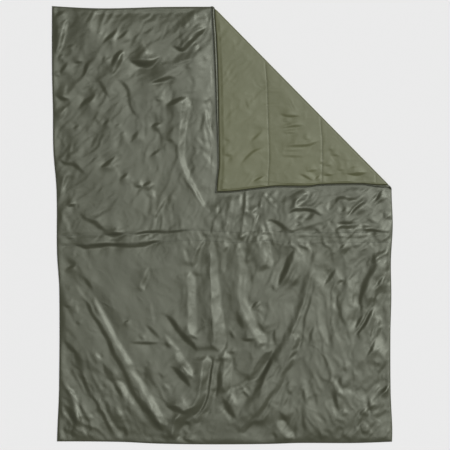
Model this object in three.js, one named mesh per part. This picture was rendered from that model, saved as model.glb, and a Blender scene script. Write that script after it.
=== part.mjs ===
// An insulated camping blanket, laid flat with its top right corner turned over to the front.
// Millimetres, +X to the right, +Y to the blanket's head, +Z up, origin on the floor under its middle.
// The quilt is two pieces. The shell is the dark outer cloth with its half of the filling, its edge turned
// round the rim as a hem. The lining is the lighter cloth with the other half, sewn in channels, inside it.
import * as THREE from "three";

const { lerp, smoothstep } = THREE.MathUtils;

// Driving sizes
const BLANKET_WIDTH = 1500;
const BLANKET_LENGTH = 1930;
const SHELL_DEPTH = 3.5; // from the quilt's middle to the shell's face
const LINING_DEPTH = 4; // from the quilt's middle to the lining's face, and so to the floor
const PARTING = 0.3; // between the shell's half and the lining's half
const HEM_WIDTH = 10; // how far the shell is turned to the lining's side
const HEM_GAP = 2; // between the hem and the lining's edge
const BEND_RADIUS = 6; // of the quilt's middle in the roll of the turned corner
const FLAP_DROP = 2.8; // how far the turned corner sinks from the roll to its free tip
const THINNEST = 1.6; // of the shell's half in a hollow
const SHELL_CELL = 30; // pitch of the shell's points
const LINING_CELL = 32; // pitch of the lining's points on the turned corner
const UNDERSIDE_CELL = 110; // pitch of the lining's points where it lies flat
const BEND_STEPS = 6;

// Sewn channels of the lining, parallel to the blanket's head
const CHANNEL_FIRST = 229;
const CHANNEL_PITCH = 238;
const CHANNEL_ROWS = 7;
const ROW_HALF = 9; // half the width of the trough along a row
const ROW_TROUGH = 1.7;
const CHANNEL_CROWN = 1.3; // how much higher a channel stands on the turned corner, where nothing presses it

// The gathered seam across the shell, two rows of stitches
const SEAM_MIDDLE = -55;
const SEAM_SPREAD = 45;
const SEAM_TROUGH = 2;
const SEAM_HALF = 13; // half the width of the trough along each row
const SEAM_REACH = 300; // how far along the blanket the points follow the seam's drift

// The roll of the turned corner: where it starts at the blanket's head and at its right edge
const ROLL_HEAD_X = -55;
const ROLL_RIGHT_Y = 150;
const ROLL_HEAD_SHIFT = 14; // how far the turned edge starts along the roll, at its two ends
const ROLL_RIGHT_SHIFT = 24;
const FLAP_TIP = { x: -30, y: 143 };
const BOW_START = 0.13; // share of the turned corner, from the roll, over which its edges take up their bow

// How far each edge is drawn in from the plain rectangle. at is x or y along that edge.
const HEAD_DRAWN = [
  { at: -750, by: 0 }, { at: -527, by: 10 }, { at: -263, by: 4 }, { at: -55, by: 3 }, { at: 750, by: 3 },
];
const FOOT_DRAWN = [
  { at: -750, by: 13 }, { at: -466, by: 11 }, { at: -281, by: 3 }, { at: -35, by: 0 },
  { at: 212, by: 2 }, { at: 335, by: 6 }, { at: 581, by: 6 }, { at: 750, by: 12 },
];
const LEFT_DRAWN = [
  { at: -965, by: 22 }, { at: -903, by: 24 }, { at: -727, by: 31 }, { at: -287, by: 32 },
  { at: -111, by: 22 }, { at: 153, by: 20 }, { at: 329, by: 6 }, { at: 505, by: 4 }, { at: 681, by: 0 },
  { at: 965, by: 0 },
];
const RIGHT_DRAWN = [
  { at: -965, by: 3 }, { at: -903, by: 2 }, { at: -745, by: 9 }, { at: -481, by: 10 },
  { at: -320, by: 6 }, { at: -164, by: 8 }, { at: -6, by: 0 }, { at: 150, by: 5 }, { at: 965, by: 5 },
];
// The same for the turned corner's two free edges. at runs from 0 at the roll to 1 at the tip.
const FLAP_LEFT_DRAWN = [
  { at: 0, by: 0 }, { at: 0.2, by: 5 }, { at: 0.32, by: 8 }, { at: 0.57, by: 11 }, { at: 0.845, by: 14 },
  { at: 0.93, by: 6 }, { at: 1, by: 0 },
];
const FLAP_FOOT_DRAWN = [
  { at: 0, by: 0 }, { at: 0.1, by: 12 }, { at: 0.21, by: 16 }, { at: 0.39, by: 17 }, { at: 0.46, by: 12 },
  { at: 0.65, by: 16 }, { at: 0.77, by: 9 }, { at: 0.9, by: 0 }, { at: 1, by: 0 },
];
const SEAM_DRIFT = [
  { at: -750, by: -14 }, { at: -420, by: -6 }, { at: -135, by: 11 }, { at: 60, by: 2 }, { at: 200, by: 10 },
  { at: 300, by: 0 }, { at: 750, by: 3 },
];

// Wide, shallow waves of the loose cloth over its filling: height, and the lengths over which each wave turns
// across (x) and along (y) the blanket, with how far and how often it wanders
const LOFT = [
  { height: 0.9, x: 103, y: 127, wander: 1.2, over: 155 },
  { height: 0.5, x: 47, y: 61, wander: 2, over: 97 },
];
const CREASE_END = 60; // over which a crease rises from its two ends
const RIM_FADE = 70; // distance from the rim at which creases reach their full height
const UNDER_FLAP = 12; // how far creases reach under the turned corner's edge
const CLEAR_OF_FLAP = 18; // how far outside that edge they reach their full height

// The shell's profile at the rim: height above the floor at each distance in from the edge
const RIM = [
  { inset: 0, height: 2.2 }, { inset: 4, height: 4.6 }, { inset: HEM_WIDTH, height: 6 },
];

// Main creases of the shell. The cloth is high on the left of each run and drops steeply across it: face is
// the width of that drop, rise its height, and tail the width over which the crest dies away on the high side.
const CREASES = [
  { run: [[-50, 55], [-115, 150], [-168, 260], [-174, 400], [-155, 570]], face: 30, rise: 7.5, tail: 55 },
  { run: [[-110, -490], [-133, -350], [-139, -200], [-175, -100]], face: 30, rise: 7.5, tail: 55 },
  { run: [[-10, -560], [-13, -450], [-27, -320], [-38, -150], [-50, -65]], face: 38, rise: 8, tail: 60 },
  { run: [[9, -220], [6, -120], [38, -75]], face: 28, rise: 4, tail: 30 },
  { run: [[200, -520], [145, -450], [98, -350], [88, -250], [83, -85]], face: 38, rise: 7.5, tail: 50 },
  { run: [[220, -190], [185, -100], [200, -50]], face: 40, rise: 5, tail: 50 },
  { run: [[390, -170], [360, -270], [330, -370], [285, -485], [240, -570]], face: 34, rise: 7.5, tail: 70 },
  { run: [[325, -90], [280, -190], [250, -280]], face: 30, rise: 6, tail: 40 },
  { run: [[665, -110], [655, -210], [613, -300], [620, -380]], face: 34, rise: 7, tail: 50 },
  { run: [[670, -350], [630, -430], [585, -495]], face: 30, rise: 6, tail: 45 },
  { run: [[498, -300], [540, -435], [565, -520]], face: 30, rise: 4, tail: 45 },
  { run: [[-630, -310], [-575, -385], [-520, -475], [-470, -570], [-400, -710], [-350, -790], [-265, -895]],
    face: 30, rise: 8, tail: 45 },
  { run: [[-585, -950], [-620, -850], [-675, -710]], face: 28, rise: 5.5, tail: 40 },
  { run: [[-700, -500], [-640, -570]], face: 30, rise: 5, tail: 45 },
  { run: [[-340, -295], [-325, -180]], face: 28, rise: 5, tail: 40 },
  { run: [[-280, -380], [-190, -460], [-100, -560]], face: 30, rise: 5.5, tail: 45 },
  { run: [[-125, -670], [-180, -590], [-210, -555]], face: 30, rise: 6, tail: 40 },
  { run: [[-240, -615], [-170, -670], [-135, -720]], face: 30, rise: 5.5, tail: 35 },
  { run: [[-200, -950], [-190, -870], [-120, -810], [-80, -750], [-55, -570]], face: 30, rise: 5, tail: 40 },
  { run: [[20, -740], [25, -600], [10, -550]], face: 34, rise: 6, tail: 40 },
  { run: [[-10, -745], [20, -790], [65, -865]], face: 34, rise: 6.5, tail: 45 },
  { run: [[-380, -795], [-465, -675]], face: 28, rise: 5, tail: 45 },
  { run: [[-560, -805], [-510, -860], [-465, -940]], face: 28, rise: 5, tail: 40 },
  { run: [[240, -810], [290, -875]], face: 28, rise: 5, tail: 45 },
  { run: [[470, -695], [485, -740], [520, -840]], face: 28, rise: 6.5, tail: 55 },
  { run: [[640, -755], [655, -840]], face: 28, rise: 5, tail: 35 },
  { run: [[740, -680], [690, -750]], face: 28, rise: 4, tail: 30 },
  { run: [[-420, 730], [-320, 710], [-270, 750]], face: 34, rise: 6, tail: 45 },
  { run: [[-425, 775], [-495, 690]], face: 28, rise: 5.5, tail: 40 },
  { run: [[-485, 645], [-415, 590], [-400, 520], [-350, 455]], face: 28, rise: 5, tail: 35 },
  { run: [[-330, 620], [-220, 650], [-190, 635]], face: 28, rise: 5.5, tail: 45 },
  { run: [[-55, 880], [-120, 825], [-175, 770], [-230, 800]], face: 28, rise: 5.5, tail: 50 },
  { run: [[-740, 580], [-665, 555]], face: 30, rise: 5, tail: 45 },
  { run: [[-550, 580], [-640, 510]], face: 28, rise: 5, tail: 45 },
  { run: [[-170, 565], [-260, 520]], face: 28, rise: 5, tail: 45 },
  { run: [[-260, 455], [-320, 420]], face: 28, rise: 4.5, tail: 40 },
  { run: [[-730, 305], [-660, 270], [-600, 210]], face: 28, rise: 5.5, tail: 45 },
  { run: [[-465, 310], [-550, 245]], face: 28, rise: 4.5, tail: 40 },
  { run: [[-715, 120], [-665, 235]], face: 28, rise: 4.5, tail: 45 },
  { run: [[140, 15], [160, 90]], face: 28, rise: 4.5, tail: 30 },
  { run: [[115, 50], [83, 145]], face: 28, rise: 4.5, tail: 35 },
  { run: [[180, 20], [240, 10], [320, -30]], face: 28, rise: 4.5, tail: 40 },
  { run: [[288, 30], [330, 70], [400, 60], [460, 45]], face: 28, rise: 5, tail: 50 },
  { run: [[610, 140], [515, 120], [485, 75]], face: 28, rise: 4.5, tail: 40 },
  { run: [[645, 105], [545, 30]], face: 28, rise: 5, tail: 45 },
];

// Soft creases of the lining on the turned corner, in the same terms
const LINING_CREASES = [
  { run: [[245, 430], [290, 435], [370, 435]], face: 26, rise: 1.5, tail: 60 },
  { run: [[255, 346], [380, 353], [445, 372]], face: 26, rise: 1.3, tail: 60 },
  { run: [[190, 430], [110, 350]], face: 26, rise: 1.2, tail: 60 },
  { run: [[200, 345], [100, 290], [75, 255]], face: 26, rise: 1.3, tail: 50 },
  { run: [[330, 228], [400, 185]], face: 26, rise: 1.4, tail: 50 },
  { run: [[440, 220], [540, 225], [650, 235]], face: 26, rise: 1.2, tail: 50 },
  { run: [[240, 495], [350, 480]], face: 26, rise: 1.2, tail: 60 },
];

const MIDDLE_Z = LINING_DEPTH;
const SHELL_TOP = MIDDLE_Z + SHELL_DEPTH;

// Value of a table of { at, by } rows at a place between them, on a smooth curve through the rows
const curves = new Map();
function along(table, at) {
  if (!curves.has(table)) {
    const [places, values] = [table.map((row) => row.at), table.map((row) => row.by)];
    curves.set(table, new THREE.CubicInterpolant(places, values, 1));
  }
  return curves.get(table).evaluate(at)[0];
}

const headY = (x) => BLANKET_LENGTH / 2 - along(HEAD_DRAWN, x);
const footY = (x) => -BLANKET_LENGTH / 2 + along(FOOT_DRAWN, x);
const leftX = (y) => -BLANKET_WIDTH / 2 + along(LEFT_DRAWN, y);
const rightX = (y) => BLANKET_WIDTH / 2 - along(RIGHT_DRAWN, y);

// The line where the quilt leaves the floor and starts to roll over, and the way it rolls
const rollHead = new THREE.Vector2(ROLL_HEAD_X, headY(ROLL_HEAD_X));
const rollRight = new THREE.Vector2(rightX(ROLL_RIGHT_Y), ROLL_RIGHT_Y);
const rollLine = rollRight.clone().sub(rollHead).normalize();
const rollOut = new THREE.Vector2(-rollLine.y, rollLine.x);
const flapHead = rollHead.clone().addScaledVector(rollLine, ROLL_HEAD_SHIFT);
const flapRight = rollRight.clone().addScaledVector(rollLine, -ROLL_RIGHT_SHIFT);
const flapTip = new THREE.Vector2(FLAP_TIP.x, FLAP_TIP.y);
const flapReach = rollHead.clone().sub(flapTip).dot(rollOut);
const flatLeft = rollHead.x + BLANKET_WIDTH / 2; // the flat part left of the corner's block of points
const flatFoot = rollRight.y + BLANKET_LENGTH / 2; // and below it
const blockSide = rollHead.y - rollRight.y;
const flapFootLength = flapRight.distanceTo(flapTip);

// A place on the flat part. across and up run from 0 at the edge to 1 at the line where the turned corner's
// block of points begins, and on to 2 at the other edge.
function flatPoint(across, up) {
  const inBlock = across > 1 && up > 1;
  const between = (low, middle, high, at) => (at < 1 ? lerp(low, middle, at) : lerp(middle, high, at - 1));
  const roughX = between(-BLANKET_WIDTH / 2, rollHead.x, rollRight.x, across);
  const roughY = between(-BLANKET_LENGTH / 2, rollRight.y, rollHead.y, up);
  const right = inBlock ? rollRight.x : rightX(roughY);
  const head = inBlock ? rollHead.y : headY(roughX);
  const x = between(leftX(roughY), rollHead.x, right, across);
  const y = between(footY(roughX), rollRight.y, head, up);
  const nearSeam = up < 1 ? Math.max(0, 1 - Math.abs(y - SEAM_MIDDLE) / SEAM_REACH) : 0;
  return new THREE.Vector2(x, y + along(SEAM_DRIFT, x) * nearSeam);
}

// A place on the turned corner. Both fractions are 1 at its tip and add up to 1 along the roll.
function flapPoint(f, g) {
  const p = flapTip.clone();
  p.addScaledVector(flapHead.clone().sub(flapTip), 1 - f);
  p.addScaledVector(flapRight.clone().sub(flapTip), 1 - g);
  const clearOfRoll = Math.min(1, (f + g - 1) / BOW_START);
  const bow = new THREE.Vector2(along(FLAP_LEFT_DRAWN, f) * g, along(FLAP_FOOT_DRAWN, g) * f);
  return p.addScaledVector(bow, clearOfRoll);
}

// Distances between the breaks, each stretch cut into equal steps no longer than the pitch
function stepped(breaks, pitch) {
  const out = [breaks[0]];
  for (let i = 1; i < breaks.length; i++) {
    const count = Math.max(1, Math.ceil((breaks[i] - breaks[i - 1]) / pitch - 1e-6));
    for (let s = 1; s <= count; s++) out.push(lerp(breaks[i - 1], breaks[i], s / count));
  }
  return out;
}

// Whole numbers from one to the other: each of them, or count + 1 of them spread evenly
const range = (from, to) => Array.from({ length: to - from + 1 }, (_, i) => from + i);
const spaced = (from, to, count) => range(0, count).map((i) => Math.round(lerp(from, to, i / count)));

// The quilt's middle surface as a net of points. left and low hold the columns and rows before the turned
// corner's block, corner the fractions of the block where it lies flat, and turned those of the turned corner.
function makeNet({ left, low, corner, turned }) {
  const firstColumn = left.length;
  const firstRow = low.length;
  const count = corner.length - 1;
  const across = [...left, ...corner.map((f) => 1 + f)];
  const up = [...low, ...corner.map((_, n) => 2 - corner[count - n])];
  const nodes = new Map();
  const keep = (key, make) => {
    if (!nodes.has(key)) nodes.set(key, { key, ...make() });
    return nodes.get(key);
  };
  const flat = (i, j) =>
    keep(`flat ${i} ${j}`, () => {
      const p = flatPoint(across[i], up[j]);
      const fromHead = up[j] > 1 ? (2 - up[j]) * blockSide : blockSide + (1 - up[j]) * flatFoot;
      return { part: "flat", at: new THREE.Vector3(p.x, p.y, MIDDLE_Z), face: new THREE.Vector3(0, 0, 1), fromHead };
    });
  const flap = (i, j) =>
    keep(`flap ${i} ${j}`, () => {
      const headShare = turned[count - (j - firstRow)];
      const p = flapPoint(turned[i - firstColumn], 1 - headShare);
      const away = rollHead.clone().sub(p).dot(rollOut);
      const z = MIDDLE_Z + 2 * BEND_RADIUS - (FLAP_DROP * away) / flapReach;
      const fromHead = headShare * flapFootLength;
      return { part: "flap", at: new THREE.Vector3(p.x, p.y, z), face: new THREE.Vector3(0, 0, -1), fromHead };
    });
  const roll = (step, m) => {
    if (step === 0) return flat(firstColumn + m, firstRow + count - m);
    if (step === BEND_STEPS) return flap(firstColumn + m, firstRow + count - m);
    return keep(`roll ${step} ${m}`, () => {
      const s = step / BEND_STEPS;
      const angle = Math.PI * s;
      const start = rollHead.clone().lerp(flapHead, s);
      const p = start.lerp(rollRight.clone().lerp(flapRight, s), lerp(corner[m], turned[m], s));
      p.addScaledVector(rollOut, BEND_RADIUS * Math.sin(angle));
      return {
        part: "roll",
        at: new THREE.Vector3(p.x, p.y, MIDDLE_Z + BEND_RADIUS * (1 - Math.cos(angle))),
        face: new THREE.Vector3(-rollOut.x * Math.sin(angle), -rollOut.y * Math.sin(angle), Math.cos(angle)),
      };
    });
  };
  const columns = across.length - 1;
  const rows = up.length - 1;
  return { flat, flap, roll, columns, rows, firstColumn, firstRow, count };
}

// The points round the net, the given number of steps in from its edge, each with its station on the way round.
// Where the way round meets the roll, the points of every ring share one station, so that bands turn with it.
function ring(net, inset, keepColumns = null, keepRows = null) {
  const { flat, flap, roll, columns, rows, firstColumn, firstRow, count } = net;
  const out = [];
  const add = (station, node) => out.push({ station, node });
  const hasColumn = (i) => !keepColumns || keepColumns.includes(i);
  const hasRow = (j) => !keepRows || keepRows.includes(j);
  const [lastColumn, lastRow] = [columns - inset, rows - inset];
  const [rollColumn, rollRow] = [firstColumn + inset, firstRow + inset];
  for (let i = inset; i < lastColumn; i++) if (hasColumn(i)) add(i / columns, flat(i, inset));
  for (let j = inset; j < rollRow; j++) if (hasRow(j)) add(1 + j / rows, flat(lastColumn, j));
  for (let s = 0; s <= BEND_STEPS; s++) add(2 + s / BEND_STEPS, roll(s, count - inset));
  for (let j = rollRow + 1; j < lastRow; j++) if (hasRow(j)) add(3 + j / rows, flap(lastColumn, j));
  for (let i = lastColumn; i > rollColumn; i--) if (hasColumn(i)) add(5 - i / columns, flap(i, lastRow));
  for (let s = BEND_STEPS; s >= 0; s--) add(6 - s / BEND_STEPS, roll(s, inset));
  for (let i = rollColumn - 1; i > inset; i--) if (hasColumn(i)) add(7 - i / columns, flat(i, lastRow));
  for (let j = lastRow; j > inset; j--) if (hasRow(j)) add(8 - j / rows, flat(inset, j));
  return out;
}

// A closed surface put together from points of the net, each moved off it along its own face direction
class Skin {
  constructor() {
    this.points = [];
    this.triangles = [];
    this.known = new Map();
  }

  corner(node, layer) {
    const key = `${layer.name} ${node.key}`;
    if (!this.known.has(key)) {
      this.known.set(key, this.points.length / 3);
      const p = node.at.clone().addScaledVector(node.face, layer.offset(node));
      this.points.push(p.x, p.y, p.z);
    }
    return this.known.get(key);
  }

  // A flat or curved face over the whole net between the given columns and rows. turnedIn faces the lining's way.
  face(net, layer, columnList, rowList, turnedIn) {
    const { flat, flap, roll, firstColumn, firstRow, count } = net;
    const onRoll = (i) => i >= firstColumn && rowList.includes(firstRow + count - (i - firstColumn));
    const blockColumn = columnList.findIndex(onRoll);
    const rollStops = columnList.slice(blockColumn);
    const blockRow = rowList.length - rollStops.length;
    const last = rollStops.length - 1;
    for (let c = 0; c < columnList.length - 1; c++) {
      for (let r = 0; r < rowList.length - 1; r++) {
        const [i0, i1] = [columnList[c], columnList[c + 1]];
        const [j0, j1] = [rowList[r], rowList[r + 1]];
        const depth = c >= blockColumn && r >= blockRow ? c - blockColumn + (r - blockRow) : -1;
        const cell = (at) => [at(i0, j0), at(i1, j0), at(i1, j1), at(i0, j1)];
        if (depth < last - 1) this.quad(cell(flat), layer, turnedIn);
        else if (depth >= last) this.quad(cell(flap), layer, turnedIn);
        else {
          this.triangle([flat(i0, j0), flat(i1, j0), flat(i0, j1)], layer, turnedIn);
          this.triangle([flap(i1, j0), flap(i1, j1), flap(i0, j1)], layer, turnedIn);
        }
      }
    }
    for (let n = 0; n < last; n++) {
      const [m0, m1] = [rollStops[n] - firstColumn, rollStops[n + 1] - firstColumn];
      for (let s = 0; s < BEND_STEPS; s++) {
        this.quad([roll(s, m0), roll(s, m1), roll(s + 1, m1), roll(s + 1, m0)], layer, turnedIn);
      }
    }
  }

  triangle(nodes, layer, turnedIn) {
    const [a, b, c] = nodes.map((node) => this.corner(node, layer));
    this.triangles.push(...(turnedIn ? [a, c, b] : [a, b, c]));
  }

  // Split along the diagonal whose ends are closer in height, so that the split follows the creases
  quad(nodes, layer, turnedIn) {
    const [a, b, c, d] = nodes;
    const height = (node) => layer.offset(node);
    if (Math.abs(height(a) - height(c)) <= Math.abs(height(b) - height(d))) {
      this.triangle([a, b, c], layer, turnedIn);
      this.triangle([a, c, d], layer, turnedIn);
    } else {
      this.triangle([a, b, d], layer, turnedIn);
      this.triangle([b, c, d], layer, turnedIn);
    }
  }

  // A band of triangles between an outer and an inner ring of the net
  band(outer, inner, layer, turnedIn) {
    const [outerLoop, innerLoop] = [outer, inner].map((loop) => [...loop, { station: 8, node: loop[0].node }]);
    let [o, i] = [0, 0];
    while (o < outerLoop.length - 1 || i < innerLoop.length - 1) {
      const nextOuter = outerLoop[o + 1] ? outerLoop[o + 1].station : Infinity;
      const nextInner = innerLoop[i + 1] ? innerLoop[i + 1].station : Infinity;
      if (nextOuter <= nextInner + 1e-9) {
        this.triangle([outerLoop[o].node, outerLoop[o + 1].node, innerLoop[i].node], layer, turnedIn);
        o += 1;
      }
      if (nextInner <= nextOuter + 1e-9) {
        this.triangle([outerLoop[o].node, innerLoop[i + 1].node, innerLoop[i].node], layer, turnedIn);
        i += 1;
      }
    }
  }

  // An upright wall along a ring, from the layer nearer the lining's face to the other
  wall(loop, under, over, facesIn) {
    loop.forEach(({ node: p }, index) => {
      const q = loop[(index + 1) % loop.length].node;
      const [a, b] = facesIn ? [q, p] : [p, q];
      const [underA, underB] = [this.corner(a, under), this.corner(b, under)];
      const [overA, overB] = [this.corner(a, over), this.corner(b, over)];
      this.triangles.push(underA, underB, overB, underA, overB, overA);
    });
  }

  geometry() {
    const geometry = new THREE.BufferGeometry();
    geometry.setAttribute("position", new THREE.Float32BufferAttribute(this.points, 3));
    geometry.setIndex(this.triangles);
    geometry.computeVertexNormals();
    return geometry;
  }
}

// Height that one crease adds at a place
function creaseHeight({ run, face, rise, tail }, x, y) {
  let nearest = Infinity;
  let side = 0;
  let travelled = 0;
  let where = 0;
  for (let i = 1; i < run.length; i++) {
    const [[ax, ay], [bx, by]] = [run[i - 1], run[i]];
    const length = Math.hypot(bx - ax, by - ay);
    const [tx, ty] = [(bx - ax) / length, (by - ay) / length];
    const t = Math.min(length, Math.max(0, (x - ax) * tx + (y - ay) * ty));
    const [dx, dy] = [x - ax - tx * t, y - ay - ty * t];
    const distance = Math.hypot(dx, dy);
    if (distance < nearest) {
      nearest = distance;
      side = tx * dy - ty * dx;
      where = travelled + t;
    }
    travelled += length;
  }
  const off = Math.sign(side) * nearest;
  const ends = Math.min(travelled / 3, CREASE_END);
  const taper = smoothstep(where, 0, ends) * smoothstep(travelled - where, 0, ends);
  const climb = smoothstep(off, -face / 2, face / 2);
  const fall = 1 - smoothstep(off, face / 2, face / 2 + tail);
  return rise * climb * fall * taper;
}

const creases = (table, x, y) => table.reduce((sum, crease) => sum + creaseHeight(crease, x, y), 0);

function loft(x, y) {
  return LOFT.reduce((sum, wave) => {
    const across = Math.sin(x / wave.x + wave.wander * Math.sin(y / wave.over));
    const down = Math.sin(y / wave.y + wave.wander * Math.sin(x / wave.over));
    return sum + wave.height * across * down;
  }, 0);
}

// How much of the creases is left at a place: none under the turned corner, and little at the very rim
function freedom(x, y) {
  const downEdge = (flapHead.y - y) / (flapHead.y - flapTip.y);
  const alongFoot = (x - flapTip.x) / (flapRight.x - flapTip.x);
  const pastLeft = lerp(flapHead.x, flapTip.x, downEdge) - x;
  const pastFoot = lerp(flapTip.y, flapRight.y, alongFoot) - y;
  const fromEdge = Math.min(x - leftX(y), rightX(y) - x, headY(x) - y, y - footY(x));
  return smoothstep(Math.max(pastLeft, pastFoot), -UNDER_FLAP, CLEAR_OF_FLAP) * smoothstep(fromEdge, 0, RIM_FADE);
}

function seamTrough(x, y) {
  const middle = SEAM_MIDDLE + along(SEAM_DRIFT, x);
  const trough = (off) => SEAM_TROUGH * Math.exp(-((off / SEAM_HALF) ** 2));
  return trough(y - middle - SEAM_SPREAD / 2) + trough(y - middle + SEAM_SPREAD / 2);
}

// The shell's face above the quilt's middle. rimStep counts the points in from the edge.
function shellRise({ at: { x, y }, part }, rimStep) {
  if (rimStep < RIM.length) return RIM[rimStep].height - MIDDLE_Z;
  if (part !== "flat") return SHELL_DEPTH;
  const loose = creases(CREASES, x, y) + loft(x, y) - seamTrough(x, y);
  return Math.max(THINNEST, SHELL_DEPTH + freedom(x, y) * loose);
}

// Shell
const rimInsets = RIM.map((row) => row.inset);
const farInsets = [...rimInsets].reverse().map((d) => blockSide - d);
const seamFromFoot = flatFoot + SEAM_MIDDLE - rollRight.y;
const seamRows = [-1.15, -0.5, 0, 0.5, 1.15].map((share) => seamFromFoot + share * SEAM_SPREAD);
const shellCorner = stepped([...rimInsets, ...farInsets], SHELL_CELL).map((d) => d / blockSide);
const shellNet = makeNet({
  left: stepped([...rimInsets, flatLeft], SHELL_CELL).slice(0, -1).map((d) => d / flatLeft),
  low: stepped([...rimInsets, ...seamRows, flatFoot], SHELL_CELL).slice(0, -1).map((d) => d / flatFoot),
  corner: shellCorner,
  turned: shellCorner,
});

// How many points in from the edge each point near the rim lies
const shellRim = new Map();
for (let inset = RIM.length - 1; inset >= 0; inset--) {
  ring(shellNet, inset).forEach(({ node }) => shellRim.set(node.key, inset));
}
const rimStepOf = (node) => (shellRim.has(node.key) ? shellRim.get(node.key) : RIM.length);
const shellOuter = { name: "outer", offset: (node) => shellRise(node, rimStepOf(node)) };
const HEM_STEP = RIM.length - 1;
const hemFace = { name: "hem", offset: () => -LINING_DEPTH };
const shellInner = { name: "inner", offset: () => PARTING / 2 };

// Sparse columns and rows for a face that is plain, about one in SPARSE_PACE of the net's
const SPARSE_PACE = 5;
function sparse(net, inset) {
  const { firstColumn, firstRow, count } = net;
  const block = spaced(inset, count - inset, Math.round((count - 2 * inset) / SPARSE_PACE));
  const before = (first) => spaced(inset, first, Math.ceil((first - inset) / SPARSE_PACE));
  return {
    columnList: [...before(firstColumn), ...block.map((m) => firstColumn + m)],
    rowList: [...before(firstRow), ...block.map((m) => firstRow + count - m).reverse()],
  };
}

function shellGeometry() {
  const skin = new Skin();
  const net = shellNet;
  const SPARSE_FROM = HEM_STEP + 2;
  skin.face(net, shellOuter, range(0, net.columns), range(0, net.rows), false);
  skin.wall(ring(net, 0), hemFace, shellOuter, false);
  skin.band(ring(net, 0), ring(net, HEM_STEP), hemFace, true);
  skin.wall(ring(net, HEM_STEP), hemFace, shellInner, true);
  const { columnList, rowList } = sparse(net, SPARSE_FROM);
  skin.band(ring(net, HEM_STEP), ring(net, SPARSE_FROM, columnList, rowList), shellInner, true);
  skin.face(net, shellInner, columnList, rowList, true);
  return skin.geometry();
}

// Lining
const liningInset = HEM_WIDTH + HEM_GAP;
const rowPlaces = range(0, CHANNEL_ROWS - 1).map((n) => CHANNEL_FIRST + n * CHANNEL_PITCH);
const rowBreaks = (places) => places.flatMap((d) => [d - ROW_HALF, d, d + ROW_HALF]);
const blockRows = rowPlaces.filter((d) => d < blockSide - 2 * ROW_HALF);
const flatRows = rowPlaces.filter((d) => d > blockSide).map((d) => flatFoot + blockSide - d).reverse();
const liningBreaks = (length) => [liningInset, ...rowBreaks(blockRows), length - liningInset];
const liningCorner = stepped(liningBreaks(blockSide), LINING_CELL);
const lastRow = blockRows[blockRows.length - 1] + ROW_HALF;
const pastRows = (d) => Math.max(0, d - lastRow) / (blockSide - liningInset - lastRow);
const onFlap = (d) => Math.min(d, lastRow) + pastRows(d) * (flapFootLength - liningInset - lastRow);
const liningNet = makeNet({
  left: stepped([liningInset, flatLeft], UNDERSIDE_CELL).slice(0, -1).map((d) => d / flatLeft),
  low: stepped([liningInset, ...rowBreaks(flatRows), flatFoot], UNDERSIDE_CELL)
    .slice(0, -1)
    .map((d) => d / flatFoot),
  corner: liningCorner.map((d) => d / blockSide),
  turned: liningCorner.map((d) => onFlap(d) / flapFootLength),
});

// Where a place lies in its channel: trough is 1 on a sewn row, crown is 1 in the middle of a channel
function channelPlace(fromHead) {
  const nearest = Math.min(...rowPlaces.map((d) => Math.abs(fromHead - d)));
  const trough = 1 - smoothstep(nearest, 0, ROW_HALF);
  return { trough, crown: smoothstep(nearest, ROW_HALF, CHANNEL_PITCH / 2) };
}

// The lining's face below the quilt's middle: troughs along the sewn rows, and channels that stand up on the
// turned corner but are pressed flat on the floor
function liningDrop({ at: { x, y }, part, fromHead }) {
  if (part === "roll") return LINING_DEPTH;
  const { trough, crown } = channelPlace(fromHead);
  if (part === "flat") return LINING_DEPTH - ROW_TROUGH * trough;
  const fromRoll = rollHead.clone().sub(new THREE.Vector2(x, y)).dot(rollOut);
  const fromRim = Math.min(fromHead, y - flapTip.y) - liningInset;
  const free = smoothstep(fromRoll, 0, CREASE_END) * smoothstep(fromRim, 0, CREASE_END);
  return LINING_DEPTH - ROW_TROUGH * trough + free * (CHANNEL_CROWN * crown + creases(LINING_CREASES, x, y));
}
const liningOuter = { name: "outer", offset: (node) => -liningDrop(node) };
const liningInner = { name: "inner", offset: () => -PARTING / 2 };

function liningGeometry() {
  const skin = new Skin();
  const net = liningNet;
  skin.face(net, liningOuter, range(0, net.columns), range(0, net.rows), true);
  skin.wall(ring(net, 0), liningOuter, liningInner, false);
  const { columnList, rowList } = sparse(net, 1);
  skin.band(ring(net, 0), ring(net, 1, columnList, rowList), liningInner, false);
  skin.face(net, liningInner, columnList, rowList, false);
  return skin.geometry();
}

// Cloths
const SHELL_CLOTH = new THREE.MeshStandardMaterial({ color: 0x676a5d, roughness: 0.42, metalness: 0 });
const LINING_CLOTH = new THREE.MeshStandardMaterial({ color: 0x70735c, roughness: 0.75, metalness: 0 });

function piece(name, geometry, material) {
  const mesh = new THREE.Mesh(geometry, material);
  mesh.name = name;
  return mesh;
}

const blanket = new THREE.Group();
blanket.name = "camping_blanket";
blanket.add(piece("shell", shellGeometry(), SHELL_CLOTH));
blanket.add(piece("lining", liningGeometry(), LINING_CLOTH));

export default blanket;
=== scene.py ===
# %% [markdown]
# # An insulated camping blanket with one corner turned over
# The blanket lies flat on the floor, seen from straight above. Its shell is a loose, shiny olive grey nylon.
# Its top right corner is folded over to the front, so that the lighter, duller lining shows there.
# The solids that are already built give the place of both cloths. This lesson makes the cloths themselves:
# their folds, their stitches and their finish. Blender works in metres, and so does every size below,
# unless a table says that its numbers are millimetres or centimetres.

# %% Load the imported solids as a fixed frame
import math
import bpy
import numpy as np
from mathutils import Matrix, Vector
from mathutils.bvhtree import BVHTree


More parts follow.
